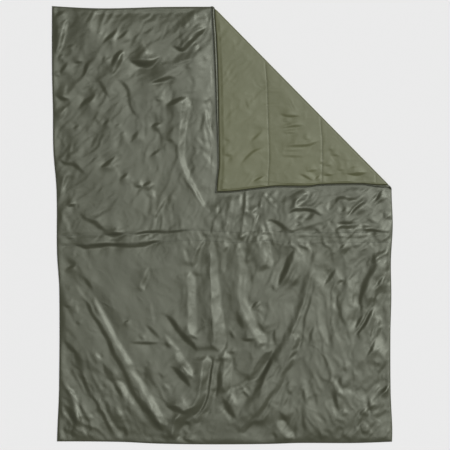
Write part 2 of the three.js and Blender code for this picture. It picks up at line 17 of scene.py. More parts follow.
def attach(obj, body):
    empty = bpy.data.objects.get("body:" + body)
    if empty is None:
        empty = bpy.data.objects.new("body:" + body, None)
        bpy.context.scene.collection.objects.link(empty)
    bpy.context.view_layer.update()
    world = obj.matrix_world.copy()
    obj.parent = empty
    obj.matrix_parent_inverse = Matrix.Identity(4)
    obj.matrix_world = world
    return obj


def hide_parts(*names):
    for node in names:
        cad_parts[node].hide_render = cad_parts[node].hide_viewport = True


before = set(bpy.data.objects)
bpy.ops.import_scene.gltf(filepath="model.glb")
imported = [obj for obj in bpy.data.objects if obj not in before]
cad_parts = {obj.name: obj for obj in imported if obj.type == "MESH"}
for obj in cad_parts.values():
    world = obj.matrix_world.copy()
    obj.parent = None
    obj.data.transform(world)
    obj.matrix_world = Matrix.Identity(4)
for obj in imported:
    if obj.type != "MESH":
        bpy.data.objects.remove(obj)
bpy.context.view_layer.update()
MM = 0.001
CM = 0.01

# %% [markdown]
# ## The camera
# The blanket is seen from straight above, so the camera looks down with the blanket's head at the top.
# A long lens from far away keeps the four edges as straight as they are on the floor.

# %% Place the camera over the blanket
VIEW_WIDTH = 1.98          # what the camera sees of the floor, from side to side
VIEW_CENTRE = (0.0114, 0.0009)
CAMERA_HEIGHT = 7.0
CLOTH_HEIGHT = 0.008       # the level at which VIEW_WIDTH is measured

lens = bpy.data.cameras.new("overhead")
lens.sensor_width = 36
lens.lens = lens.sensor_width * (CAMERA_HEIGHT - CLOTH_HEIGHT) / VIEW_WIDTH
camera = bpy.data.objects.new("overhead", lens)
camera.location = (*VIEW_CENTRE, CAMERA_HEIGHT)
bpy.context.scene.collection.objects.link(camera)
bpy.context.scene.camera = camera
print("lens of", round(lens.lens), "mm")

# %% [markdown]
# ## Sizes of the blanket
# These are the sizes that the solids were made to. Each edge is drawn in a little from a plain rectangle,
# by the millimetres in the second column, at the place in the first: x along the head and the foot,
# y along the sides. The turned corner's two free edges bow too, from 0 at the roll to 1 at the corner's tip.

# %% Driving sizes and the drawn-in edges
WIDTH = 1.500
LENGTH = 1.930
SHELL_DEPTH = 3.5 * MM      # from the quilt's middle up to the shell's face
LINING_DEPTH = 4 * MM       # from the quilt's middle down to the lining's face and the floor
PARTING = 0.3 * MM          # between the shell's inner face and the lining's
BEND_RADIUS = 6 * MM        # of the quilt's middle, round the folded edge
BEND_STEPS = 14
FLAP_DROP = 2.8 * MM        # how much lower the turned corner lies at its tip than at the roll
MIDDLE_Z = LINING_DEPTH

HEAD_DRAWN = [(-750, 0), (-527, 10), (-263, 4), (-55, 3), (750, 3)]
FOOT_DRAWN = [(-750, 13), (-466, 11), (-281, 3), (-35, 0), (212, 2), (335, 6), (581, 6), (750, 12)]
LEFT_DRAWN = [(-965, 22), (-903, 24), (-727, 31), (-287, 32), (-111, 22), (153, 20), (329, 6), (505, 4),
              (681, 0), (965, 0)]
RIGHT_DRAWN = [(-965, 3), (-903, 2), (-745, 9), (-481, 10), (-320, 6), (-164, 8), (-6, 0), (150, 5),
               (965, 5)]
FLAP_LEFT_DRAWN = [(0, 0), (0.2, 5), (0.32, 8), (0.57, 11), (0.845, 14), (0.93, 6), (1, 0)]
FLAP_FOOT_DRAWN = [(0, 0), (0.1, 12), (0.21, 16), (0.39, 17), (0.46, 12), (0.65, 16), (0.77, 9), (0.9, 0),
                   (1, 0)]


def ramp(value, start, end):
    """0 before start, 1 after end, and a smooth rise between them."""
    share = np.clip((value - start) / (end - start), 0, 1)
    return share * share * (3 - 2 * share)


def along(table, at):
    """Value at a place of a table of (place, value) rows, on a smooth curve through the rows."""
    places, values = np.array(table, float).T
    gaps = np.diff(places)
    slopes = np.empty(len(values))
    slopes[1:-1] = (values[2:] - values[:-2]) / (places[2:] - places[:-2])
    slopes[0] = 1.5 * (values[1] - values[0]) / gaps[0] - 0.5 * slopes[1]
    slopes[-1] = 1.5 * (values[-1] - values[-2]) / gaps[-1] - 0.5 * slopes[-2]
    at = np.clip(at, places[0], places[-1])
    k = np.clip(np.searchsorted(places, at, side="right") - 1, 0, len(gaps) - 1)
    t = (at - places[k]) / gaps[k]
    start = (1 + 2 * t) * (1 - t) ** 2 * values[k] + t * (1 - t) ** 2 * gaps[k] * slopes[k]
    return start + t * t * (3 - 2 * t) * values[k + 1] + t * t * (t - 1) * gaps[k] * slopes[k + 1]


def head_y(x):
    return LENGTH / 2 - along(HEAD_DRAWN, x / MM) * MM


def foot_y(x):
    return along(FOOT_DRAWN, x / MM) * MM - LENGTH / 2


def left_x(y):
    return along(LEFT_DRAWN, y / MM) * MM - WIDTH / 2


def right_x(y):
    return WIDTH / 2 - along(RIGHT_DRAWN, y / MM) * MM


print("head edge at the roll:", round(float(head_y(-0.055)), 4))

# %% [markdown]
# ## The turned corner
# The corner is folded over a straight line, from the head edge to the right edge. The quilt doesn't break
# there: it rolls, in half a circle of its own thickness. Two fractions say where a point of the corner
# lies. Both are 1 at the corner's tip, and they add up to 1 along the roll.

# %% Where the roll starts, and where the corner's points come to lie
ROLL_HEAD_X = -0.055        # where the roll starts on the head edge
ROLL_RIGHT_Y = 0.150        # and where it ends on the right edge
ROLL_HEAD_SHIFT = 0.014     # on top, its two ends lie further in by these distances
ROLL_RIGHT_SHIFT = 0.024
FLAP_TIP = np.array([-0.030, 0.143])
BOW_START = 0.13            # share of the corner, from the roll, over which its edges take up their bow
HEM_WIDTH = 0.010           # width of the hem elsewhere
HEM_LEFT = [(0, 12.5), (0.3, 11.5), (0.55, 8.5), (0.75, 4.5), (1, 3.5)]  # width of the hem, in millimetres
HEM_FOOT = 4 * MM
HEM_BLEND = 0.060           # distance from the edge over which the hem's own width is taken up

roll_head = np.array([ROLL_HEAD_X, float(head_y(ROLL_HEAD_X))])
roll_right = np.array([float(right_x(ROLL_RIGHT_Y)), ROLL_RIGHT_Y])
roll_line = (roll_right - roll_head) / np.linalg.norm(roll_right - roll_head)
roll_out = np.array([-roll_line[1], roll_line[0]])
flap_head = roll_head + roll_line * ROLL_HEAD_SHIFT
flap_right = roll_right - roll_line * ROLL_RIGHT_SHIFT
flap_reach = (roll_head - FLAP_TIP) @ roll_out
flap_left_length = np.linalg.norm(flap_head - FLAP_TIP)
flap_foot_length = np.linalg.norm(flap_right - FLAP_TIP)
flat_left = roll_head[0] + WIDTH / 2
flat_foot = roll_right[1] + LENGTH / 2
block_side = roll_head[1] - roll_right[1]


def hem_share(inset, width, free):
    """Distance from the turned corner's edge, once the hem there has its own width."""
    scaled = np.where(inset < HEM_WIDTH, inset * width / HEM_WIDTH,
                      width + (inset - HEM_WIDTH) * (HEM_BLEND - width) / (HEM_BLEND - HEM_WIDTH))
    return np.where(inset < HEM_BLEND, inset + (scaled - inset) * free, inset)


def flap_point(f, g):
    """Where the points of the turned corner come to lie, seen from above, for its two fractions."""
    clear = np.clip((f + g - 1) / BOW_START, 0, 1)
    from_left = hem_share((1 - g) * flap_foot_length, along(HEM_LEFT, f) * MM, clear) / flap_foot_length
    from_foot = hem_share((1 - f) * flap_left_length, HEM_FOOT, clear) / flap_left_length
    p = FLAP_TIP + from_foot[:, None] * (flap_head - FLAP_TIP) + from_left[:, None] * (flap_right - FLAP_TIP)
    bow = np.stack([along(FLAP_LEFT_DRAWN, f) * g, along(FLAP_FOOT_DRAWN, g) * f], 1) * MM
    return p + bow * clear[:, None]


print("the turned corner's free edges:", round(flap_left_length, 3), round(flap_foot_length, 3))

# %% [markdown]
# ## One net of points for both cloths
# Each cloth could be a plain grid that a simulation folds over. Here the grid is laid out instead, so that
# the edges and the fold are where they are on the real blanket. The net has flat points, points round the
# roll, and turned points. A cloth is the net's points moved off the quilt's middle, to one side.

# %% The net
SEAM_MIDDLE = -0.055        # the gathered seam: its place, and the distance between its two rows
SEAM_SPREAD = 0.045
SEAM_REACH = 0.300          # the net's rows follow the seam up to this distance from it
SEAM_DRIFT = [(-750, -14), (-420, -6), (-135, 11), (60, 2), (200, 10), (300, 0), (750, 3)]
STEP_SLACK = 1e-6           # a stretch that the pitch fits so closely isn't cut once more
FLAT, ROLL, TURNED = 0, 1, 2


def between(low, middle, high, at):
    """Value that is low at 0, middle at 1 and high at 2."""
    return np.where(at < 1, low + (middle - low) * at, middle + (high - middle) * (at - 1))


def flat_point(across, up):
    """Place on the flat part: across and up are 0 at the edge, 1 where the corner's block starts, then 2."""
    in_block = (across > 1) & (up > 1)
    rough_x = between(-WIDTH / 2, roll_head[0], roll_right[0], across)
    rough_y = between(-LENGTH / 2, roll_right[1], roll_head[1], up)
    right = np.where(in_block, roll_right[0], right_x(rough_y))
    head = np.where(in_block, roll_head[1], head_y(rough_x))
    x = between(left_x(rough_y), roll_head[0], right, across)
    y = between(foot_y(rough_x), roll_right[1], head, up)
    near_seam = np.where(up < 1, np.clip(1 - np.abs(y - SEAM_MIDDLE) / SEAM_REACH, 0, 1), 0)
    return np.stack([x, y + along(SEAM_DRIFT, x / MM) * MM * near_seam], 1)


class Net:
    """Points of the quilt's middle. left and low hold the columns and rows before the corner's block,
    corner the block's fractions where it lies flat, and turned those of the turned corner."""

    def __init__(self, left, low, corner, turned):
        self.first_column, self.first_row, self.count = len(left), len(low), len(corner) - 1
        across = np.concatenate([left, 1 + corner])
        up = np.concatenate([low, 2 - corner[::-1]])
        self.columns, self.rows = len(across) - 1, len(up) - 1
        i, j = np.indices((len(across), len(up)))
        m, n = i - self.first_column, j - self.first_row
        in_block = (m >= 0) & (n >= 0)
        is_flat = ~in_block | (m + n <= self.count)
        is_turned = in_block & (m + n >= self.count)
        self.flat = np.where(is_flat, np.cumsum(is_flat).reshape(is_flat.shape) - 1, -1)
        flat_total, turned_total = is_flat.sum(), is_turned.sum()
        self.flap = np.where(is_turned, flat_total + np.cumsum(is_turned).reshape(i.shape) - 1, -1)

        # The places of the flat points and of the turned ones
        fi, fj = i[is_flat], j[is_flat]
        flat_xy = flat_point(across[fi], up[fj])
        from_head = np.where(up[fj] > 1, (2 - up[fj]) * block_side, block_side + (1 - up[fj]) * flat_foot)
        f, head_share = turned[m[is_turned]], turned[self.count - n[is_turned]]
        turned_xy = flap_point(f, 1 - head_share)
        turned_z = MIDDLE_Z + 2 * BEND_RADIUS - FLAP_DROP * ((roll_head - turned_xy) @ roll_out) / flap_reach

        # The places round the roll, on half circles between the two
        step, k = np.indices((BEND_STEPS - 1, self.count + 1)).reshape(2, -1)
        share = ((step + 1) / BEND_STEPS)[:, None]
        angle = math.pi * share[:, 0]
        start = roll_head + (flap_head - roll_head) * share
        end = roll_right + (flap_right - roll_right) * share
        station = corner[k] + (turned[k] - corner[k]) * share[:, 0]
        roll_xy = start + (end - start) * station[:, None]
        roll_xy = roll_xy + roll_out * (BEND_RADIUS * np.sin(angle))[:, None]
        roll_face = np.column_stack([-roll_out * np.sin(angle)[:, None], np.cos(angle)])

        # One list of all the points, and the numbers that those round the roll have in it
        numbers = flat_total + turned_total + np.arange(len(k)).reshape(BEND_STEPS - 1, -1)
        diagonal = np.arange(self.count + 1)
        at_roll = (self.first_column + diagonal, self.first_row + self.count - diagonal)
        self.roll = np.vstack([self.flat[at_roll], numbers, self.flap[at_roll]])
        self.part = np.repeat([FLAT, TURNED, ROLL], [flat_total, turned_total, len(k)])
        self.at = np.vstack([
            np.column_stack([flat_xy, np.full(flat_total, MIDDLE_Z)]),
            np.column_stack([turned_xy, turned_z]),
            np.column_stack([roll_xy, MIDDLE_Z + BEND_RADIUS * (1 - np.cos(angle))]),
        ])
        self.face = np.vstack([
            np.tile([0, 0, 1.0], (flat_total, 1)),
            np.tile([0, 0, -1.0], (turned_total, 1)),
            roll_face,
        ])
        self.from_head = np.concatenate([from_head, head_share * flap_foot_length, np.full(len(k), -1.0)])
        turned_cloth = roll_right[1] + (1 - head_share) * block_side
        self.cloth = np.vstack([
            flat_xy,
            np.column_stack([roll_head[0] + f * block_side, turned_cloth]),
            np.column_stack([roll_head[0] + station * block_side, roll_head[1] - station * block_side]),
        ])

    def cells(self, columns=None, rows=None, rim=None):
        """Faces of the net over the given columns and rows, or the frame of rim cells along its edge."""
        columns = np.arange(self.columns + 1) if columns is None else np.array(columns)
        rows = np.arange(self.rows + 1) if rows is None else np.array(rows)
        opposite = self.first_row + self.count - (columns - self.first_column)
        block = int(np.argmax((columns >= self.first_column) & np.isin(opposite, rows)))
        stops = columns[block:]
        last, block_row = len(stops) - 1, len(rows) - len(stops)
        c, r = np.indices((len(columns) - 1, len(rows) - 1))
        depth = np.where((c >= block) & (r >= block_row), c - block + r - block_row, -1)
        wanted, strip = np.ones_like(c, bool), np.arange(last)
        if rim is not None:
            wanted = (c < rim) | (r < rim) | (c >= len(columns) - 1 - rim) | (r >= len(rows) - 1 - rim)
            strip = strip[(strip < rim) | (strip >= last - rim)]
        faces = []
        for sheet, here in ((self.flat, depth < last - 1), (self.flap, depth >= last)):
            c0, r0 = c[here & wanted], r[here & wanted]
            i0, i1, j0, j1 = columns[c0], columns[c0 + 1], rows[r0], rows[r0 + 1]
            faces.append(np.stack([sheet[i0, j0], sheet[i1, j0], sheet[i1, j1], sheet[i0, j1]], 1))
        cut = (depth == last - 1) & wanted
        i0, i1, j0, j1 = columns[c[cut]], columns[c[cut] + 1], rows[r[cut]], rows[r[cut] + 1]
        faces.append(np.stack([self.flat[i0, j0], self.flat[i1, j0], self.flat[i0, j1]], 1))
        faces.append(np.stack([self.flap[i1, j0], self.flap[i1, j1], self.flap[i0, j1]], 1))
        m0, m1 = stops[strip] - self.first_column, stops[strip + 1] - self.first_column
        for low, high in zip(self.roll, self.roll[1:]):
            faces.append(np.stack([low[m0], low[m1], high[m1], high[m0]], 1))
        return faces

    def ring(self, inset, columns=None, rows=None):
        """The points round the net, inset steps in from its edge, each with its station on the way round."""
        flat, flap, roll, wide, high = self.flat, self.flap, self.roll, self.columns, self.rows
        kept_columns = set(range(wide + 1) if columns is None else columns)
        kept_rows = set(range(high + 1) if rows is None else rows)
        right, top = wide - inset, high - inset
        roll_column, roll_row = self.first_column + inset, self.first_row + inset
        way = [(i / wide, flat[i, inset]) for i in range(inset, right) if i in kept_columns]
        way += [(1 + j / high, flat[right, j]) for j in range(inset, roll_row) if j in kept_rows]
        way += [(2 + s / BEND_STEPS, roll[s, self.count - inset]) for s in range(BEND_STEPS + 1)]
        way += [(3 + j / high, flap[right, j]) for j in range(roll_row + 1, top) if j in kept_rows]
        way += [(5 - i / wide, flap[i, top]) for i in range(right, roll_column, -1) if i in kept_columns]
        way += [(6 - s / BEND_STEPS, roll[s, inset]) for s in range(BEND_STEPS, -1, -1)]
        way += [(7 - i / wide, flat[i, top]) for i in range(roll_column - 1, inset, -1) if i in kept_columns]
        return way + [(8 - j / high, flat[inset, j]) for j in range(top, inset, -1) if j in kept_rows]


def stepped(breaks, pitch):
    """Distances between the breaks, each stretch cut into equal steps no longer than the pitch."""
    distances = [breaks[0]]
    for low, high in zip(breaks, breaks[1:]):
        steps = max(1, math.ceil((high - low) / pitch - STEP_SLACK))
        distances.extend(np.linspace(low, high, steps + 1)[1:])
    return np.array(distances)


print("a net goes round the roll in", BEND_STEPS, "steps")

# %% [markdown]
# ## From a net to a mesh
# A cloth here is a closed skin: its outer face, its inner face and the turned rim between them. The outer
# face has all the net's points. The inner one is never seen, so it keeps one column in eight, and a band of
# triangles joins the two. The flat place of each point on the cloth becomes a UV map for the weave.

# %% A closed skin over the net
SPARSE_PACE = 8             # the inner face keeps one column and one row in so many
BAND_STEPS = 2              # width of the band, in steps of the net
SAME_STATION = 1e-9         # points of two rings that are closer than this are at one station


def sparse(net, inset):
    """A few columns and rows of the net, spread evenly, with those where the corner's block starts."""
    def spaced(low, high):
        steps = max(1, round((high - low) / SPARSE_PACE))
        return np.unique(np.round(np.linspace(low, high, steps + 1)).astype(int))

    block = spaced(inset, net.count - inset)
    columns = [spaced(inset, net.first_column), net.first_column + block]
    rows = [spaced(inset, net.first_row), net.first_row + net.count - block]
    return np.unique(np.concatenate(columns)), np.unique(np.concatenate(rows))


class Skin:
    """A mesh in the making: copies of the net's points, called layers, and the faces over them."""

    def __init__(self, net):
        self.net = net
        self.points, self.faces = [], []

    def layer(self, offset):
        """A copy of the net's points, moved off the quilt's middle. Returns the number of its first one."""
        self.points.append(self.net.at + self.net.face * np.asarray(offset)[:, None])
        return (len(self.points) - 1) * len(self.net.at)

    def add(self, faces, layer, turned_in=False):
        """Faces over the net's points in one layer, turned to the other side where that is asked for."""
        for face in faces:
            numbers = face + layer
            self.faces += (numbers[:, ::-1] if turned_in else numbers).tolist()

    def wall(self, ring, under, over, faces_in=False):
        """A strip of faces along a ring, from one layer to another."""
        numbers = [int(number) for _, number in ring]
        for a, b in zip(numbers, numbers[1:] + numbers[:1]):
            a, b = (b, a) if faces_in else (a, b)
            self.faces.append([a + under, b + under, b + over, a + over])

    def band(self, outer, inner, layer, turned_in=False):
        """Triangles between two rings of one layer that have different numbers of points."""
        outer, inner = [[*way, (8, way[0][1])] for way in (outer, inner)]
        triangles, o, i = [], 0, 0
        while o < len(outer) - 1 or i < len(inner) - 1:
            next_outer = outer[o + 1][0] if o < len(outer) - 1 else math.inf
            next_inner = inner[i + 1][0] if i < len(inner) - 1 else math.inf
            if next_outer <= next_inner + SAME_STATION:
                triangles.append([outer[o][1], outer[o + 1][1], inner[i][1]])
                o += 1
            if next_inner <= next_outer + SAME_STATION:
                triangles.append([outer[o][1], inner[i + 1][1], inner[i][1]])
                i += 1
        self.add([np.array(triangles)], layer, turned_in)

    def mesh(self, name):
        """All the faces as one piece, without the points that none of them uses."""
        points = np.vstack(self.points)
        cloth = np.tile(self.net.cloth, (len(self.points), 1))
        used = np.unique(np.concatenate([np.ravel(face) for face in self.faces]))
        number = np.full(len(points), -1)
        number[used] = np.arange(len(used))
        data = bpy.data.meshes.new(name)
        data.from_pydata(points[used], [], [[int(number[v]) for v in face] for face in self.faces])
        corner = np.empty(len(data.loops), int)
        data.loops.foreach_get("vertex_index", corner)
        data.uv_layers.new(name="cloth").data.foreach_set("uv", cloth[used][corner].ravel())
        data.shade_smooth()
        piece = bpy.data.objects.new(name, data)
        bpy.context.scene.collection.objects.link(piece)
        print(name, "has", sum(len(face) - 2 for face in self.faces), "triangles")
        return piece


# %% [markdown]
# ## Creases
# Loose nylon over a soft filling falls into creases: a narrow face that is steep, with a crest on one side
# of it and a hollow on the other, which both die away slowly. A simulation would make creases of the right
# kind in the wrong places, so each row below is one crease, given in centimetres from the blanket's
# middle: "side width strength x y x y ...". On a "shade" crease the steep face is turned from the
# window on the right, and it makes a dark streak. On a "shine" crease it is turned to the window, and the
# streak is bright. The width is that of the streak, and one like 1>3 changes from the first place to the
# last. The strength says how steep the face is. All the creases are added up into one height field.

# %% The creases of the shell, from the head to the foot
HEAD_CREASES = """
shade 1.5 2 -45.5 87 -49.5 83 -53.5 79.5
shade 1.2 2 -40.5 86 -43.5 83.7 -47 80.5
shade .8 1 -53 86 -55.5 84
shade 1 1 -29.5 88 -32 85.5 -36.5 84
shade 1 2 -65 80 -69 77.5
shade 1.5 2 -70 75.5 -73 72.5
shade 1.5 2 -67.5 72.5 -70.5 68 -72 65.5
shade 1.5 2 -75 66 -71 65.2
shade 1 1 -75.5 61.3 -73 61.5
shade 1.5 2 -66 71.8 -60.5 71.3
shade 1.3 1.5 -55.5 74.5 -59 71 -60.5 67 -62.5 64
shade 1.6 2 -51 75 -53.5 72
shade 1.8 3 -42.5 77.5 -46 74.5 -49.5 69
shine 1.1 3 -49 65.5 -46.5 69 -44 74 -42.5 76.5
shine 1.4 3 -73 74.5 -71 80 -69.5 86 -68 91
shade 1.5 1.5 -73 90 -74 80
shade 3 1.5 -69 95.5 -74 91
shade 3 3 -42 73 -38 71.5 -32 71 -27 75
shade .6 1 -34.5 78.5 -31.5 78.5
shade 1.5 2.5 -58 64 -56 64.5 -53.5 62.5 -51.5 59 -49 54.5
shade 1.6>.8 2.5 -48.5 64.5 -45 63.5 -42.5 61 -41 57 -40.3 53 -38 48.5 -35 45.5
shade .7 1.5 -40.5 60 -39.3 55 -37.5 50 -35.5 47
shade .6 1 -38 67.5 -41 64.5
shade 1.8 3 -33 62 -26 64.3 -22 65 -19 63.5
shade .9 1.5 -66 94.3 -46 94 -27 94.6 -7 95
shine .9 2.5 -14.8 86 -16 90 -17 94
shade 1 2 -18.5 89 -16 85
shine 1 2 -12.3 90 -12 93 -11 95
shine 1 2 -6.5 88 -7 92 -8 94.5
shade 2 3 -5.5 88 -9 85 -12 82.5 -15 79 -17.5 77 -20 78 -23 80
shine 1.5 2 -12 75.5 -10 80.5
shade 1.2 2 -23 70.5 -19 71 -14 72.3 -11 72.5
shade 3 1.5 -18 70 -13 68.5
shade .8 2 -9 74 -6.5 72
shade .8 1.5 -14 67 -12 61
shine .8 1.5 -4.5 60 -5 70
shine .6 1 -6.3 82 -5.7 86
"""
UPPER_CREASES = """
shade 2.5 3 -74.5 58 -70 55.5 -66.5 55.5
shade 2 2.5 -55 58 -60 54 -64 51
shine 1 2 -72.5 46 -69.5 49.5 -68.5 53
shade 1.2 2.5 -30.5 57 -28 55 -25 54
shade .9 1.5 -56.5 47.5 -53.5 43.5
shade 1 2 -49.5 46.5 -53 43.5
shade 2 2 -63 44.5 -66 42
shade 1.5 2 -70.5 38.5 -73 38
shine .8 1.5 -67 31 -65.5 37
shade 1.8 1 -54 41 -58 33
shade 2 2.5 -26 45.5 -30 44 -32 42
shade 1 1 -44 45 -48 43
shade 1 1 -43 42 -46 39
shade 1.5 3 -46.5 31 -49.5 28 -52 26 -55 24.5
shade 2>1 3 -73 30.5 -69.5 27.5 -66 27 -62 24 -60 21
shade 1.2 2.5 -41 23.5 -44 21 -46 20
shade 1 1.5 -26 35 -29 32 -33 29
shade 1.8 1 -36 43 -41 35
shine .8 1.5 -46 22 -45 24
shine .8 1.5 -47.5 25 -46.5 27
shine 3>1 3 -15.5 57 -16 52 -16.6 47 -17.4 40 -17.6 32 -16.8 26 -13.7 20 -11.5 15 -8.7 10 -5 5.5
shade .6 2.5 -19.5 24 -16 19.5 -12.5 14 -8 8 -4.5 5
shade 2 3 -17 56.5 -20 54.5 -26 52
shade 1 1.5 -9.5 52 -7 44 -5.5 36
shine .8 2 -3 35 -5.5 43 -7.5 52 -8.5 55
shade .7 2 -7.5 53 -5.5 49
shade .7 1.5 -5 45 -3 39
shine 1 2 -7.2 53.5 -6.5 56.5
shine 1 1.5 -13.8 50.5 -13.2 53.5
shade 1 1.5 -5 55.5 -4.8 52.5
shine .6 2 -7.5 33.5 -10 38
shade .8 2 -10.3 35.5 -8.5 32.5
shade .6 1.5 -9.5 39 -7 35.5
shine 1.5 1.5 -3.5 25 -6 29 -9.5 33
shade 1 2 -26 35.5 -24 37.5 -21.5 36
"""
MIDDLE_CREASES = """
shine 1.2 2.5 -71.5 12 -70 16 -68.5 21 -66.5 23.5
shade .9 2 -41 18.5 -38.5 19
shade 1.3 3 -39.5 17.5 -35.5 16.5 -34.5 15.5
shade 1.2 2.5 -30.5 20 -34 17.5 -36 15.5
shine 1 2 -32.5 14.5 -30 18.5
shine 1 1.5 -28.5 11 -30 14 -28.5 17.5
shade .6 1.5 -46 15.5 -49 13 -52.5 11
shade .6 1.5 -35 15 -29.5 10.5
shade .8 1 -45 12 -41 8.5
shade 2.5 3 -69 8.6 -64 9.3
shade 2 2 -63.5 10 -63.3 7
shade 1 2 -63.5 6 -61 3.5 -58.5 1.5
shade 2 2 -62 4.5 -56 1 -53 -1.5 -49 -3
shade 2.5 3 -53 -4.5 -47 -4 -42.5 -3.5
shade .9 3 -42.5 -3.5 -38 -4 -33 -3.2 -26 -3 -20 -2.8 -13.5 -2.2
shade 1.6 3 -66 -8.5 -60 -9.5 -55 -9 -50 -8.6 -42 -8.9 -38 -8.7 -33 -8.2 -29 -7.5 -26 -7.5
shade .9 2 -71.5 -4.5 -69 -5.5 -66 -5.5 -63.5 -4
shade .6 1 -72 -9.7 -69 -10
shine 1.5 2 -65.3 -14 -64.7 -11
shine .8 1.5 -66.5 -9 -66.5 -7.5
shine 1.5 1 -67 -4 -68.5 1 -71.5 7
shine 1.2 2.5 -30 2 -28 6 -26 9.5 -24.3 13.5
shade .6 .7 -13 -5 -7 -4.5 6 -6 13 -4.5 20 -3.5 28 -5
shade .7 1 28 -5 33 -4.5 45 -5 60 -5 75 -4.5
shine .8 1 -20.5 11 -22.5 14
shine .8 1 -23 1 -22 6
shine .7>2 3 -6.5 -5.5 -8 -7 -10 -10 -11 -12.5 -12.5 -19
shine 1.3 2 -14.5 -18 -16 -13 -17.5 -10
shine 1 2 -2 -6.5 -.5 -3.5 .5 -2
shine 2 1.5 11 -18 13 -13
shine 1.2 1.5 -3 4.5 -2 8 -1.8 10
shine .8 1.5 0 2 .8 7
shine 1.8 1.5 3 10 1.5 13 0 14
shine 2.5 2.5 11.5 5 9.5 9 8.3 14.5
shine .9 2 5.3 .5 7 4.5 7.8 6.5
shine 1.8 3 14 1.5 15 5 16 9
shine 1 2 13 4 14.5 7
shade .9 2 6 -5.8 8 -6 10 -7.7
shine 1 2 15.5 -6.5 17.5 -3.5
shine 4 2 22 -19 20.5 -15 18.5 -10 20 -5
shade .7 3 15.5 15.5 19 12 24 6.5
shine .8 2 25 7 20 12.5 16.8 15.8
shade .7 2 18 15.5 26 9
shade 1>2 3 18 2 20.5 2.3 24 1 28 -1.5 32 -3
shade 1.5 3 28.8 3 30 5.5 33 7 37 7 40 6 43 4.5 46 4.5
shine 2 2 31.5 8 36 12 39 14
shine .8 1.5 46 6 47.5 11
shade 1.5 2.5 61 14 59.5 12 56 11.3 51.5 12 50 10 48.5 7.5
shade 1 2 51 5 53 6 55 9
shade 1.2 3 64.5 10.5 61 9.5 58 6.5 54.5 3
shine 1 2 54 3.5 57 7 60 10 63 13
shade 1.5 2.5 71 16 69 13 67 10
shade .8 2 73 8.5 71.3 7 71 4.5 71.8 1.5
shade 1 2.5 32 2.5 34 1 36 0
shade 1 3 40 0 42 -2.5 43.7 -4
shade 1 2.5 46.5 2.5 48 1.5 49.5 0
shade 1.5 1.5 50 1 60 .7
shine 1.5 1.5 66 -1 60 -.5 50 -1.5
shade 1.2 2.5 59.3 -2.7 60.5 -1.7 64 -2 70 -3 74.5 -3
shade .7 2 72.5 -5.3 75 -5.3
shade .8 2 62 4.5 65 2 68 .5 71 -1
shade 1 2.5 63.5 -5 65.3 -8
shade 1.5 2 66 -7 67.5 -10
shade .8 3 55 -8 56 -11 57.5 -14
shade .7 2 57 -7.5 58.5 -10
shade 1 2 54 -8 51 -11.5
shade 1 1.5 47.5 -9 48.5 -16 49.5 -19
shade 1.5 2 39.5 -9 39.5 -14 38.7 -19
shade 2.5 3 32.5 -9 30 -14 28 -19 26 -24 25 -28
shade .6 1.5 29 -6 25 -11
shade .6 1.5 31 -6 27 -10.5
shine 1.2 2 37.5 -11.5 37.5 -6
shade .6 1.5 36 -8 37 -12
shade 1 2 34 -16 32 -20 30.5 -24 29 -29
shade .7 2 69.5 -10 68 -14
shine 1.5 2 68.3 -16.5 68.7 -13.5
shade 1.5 1.5 73.5 -9 73.8 -20
"""
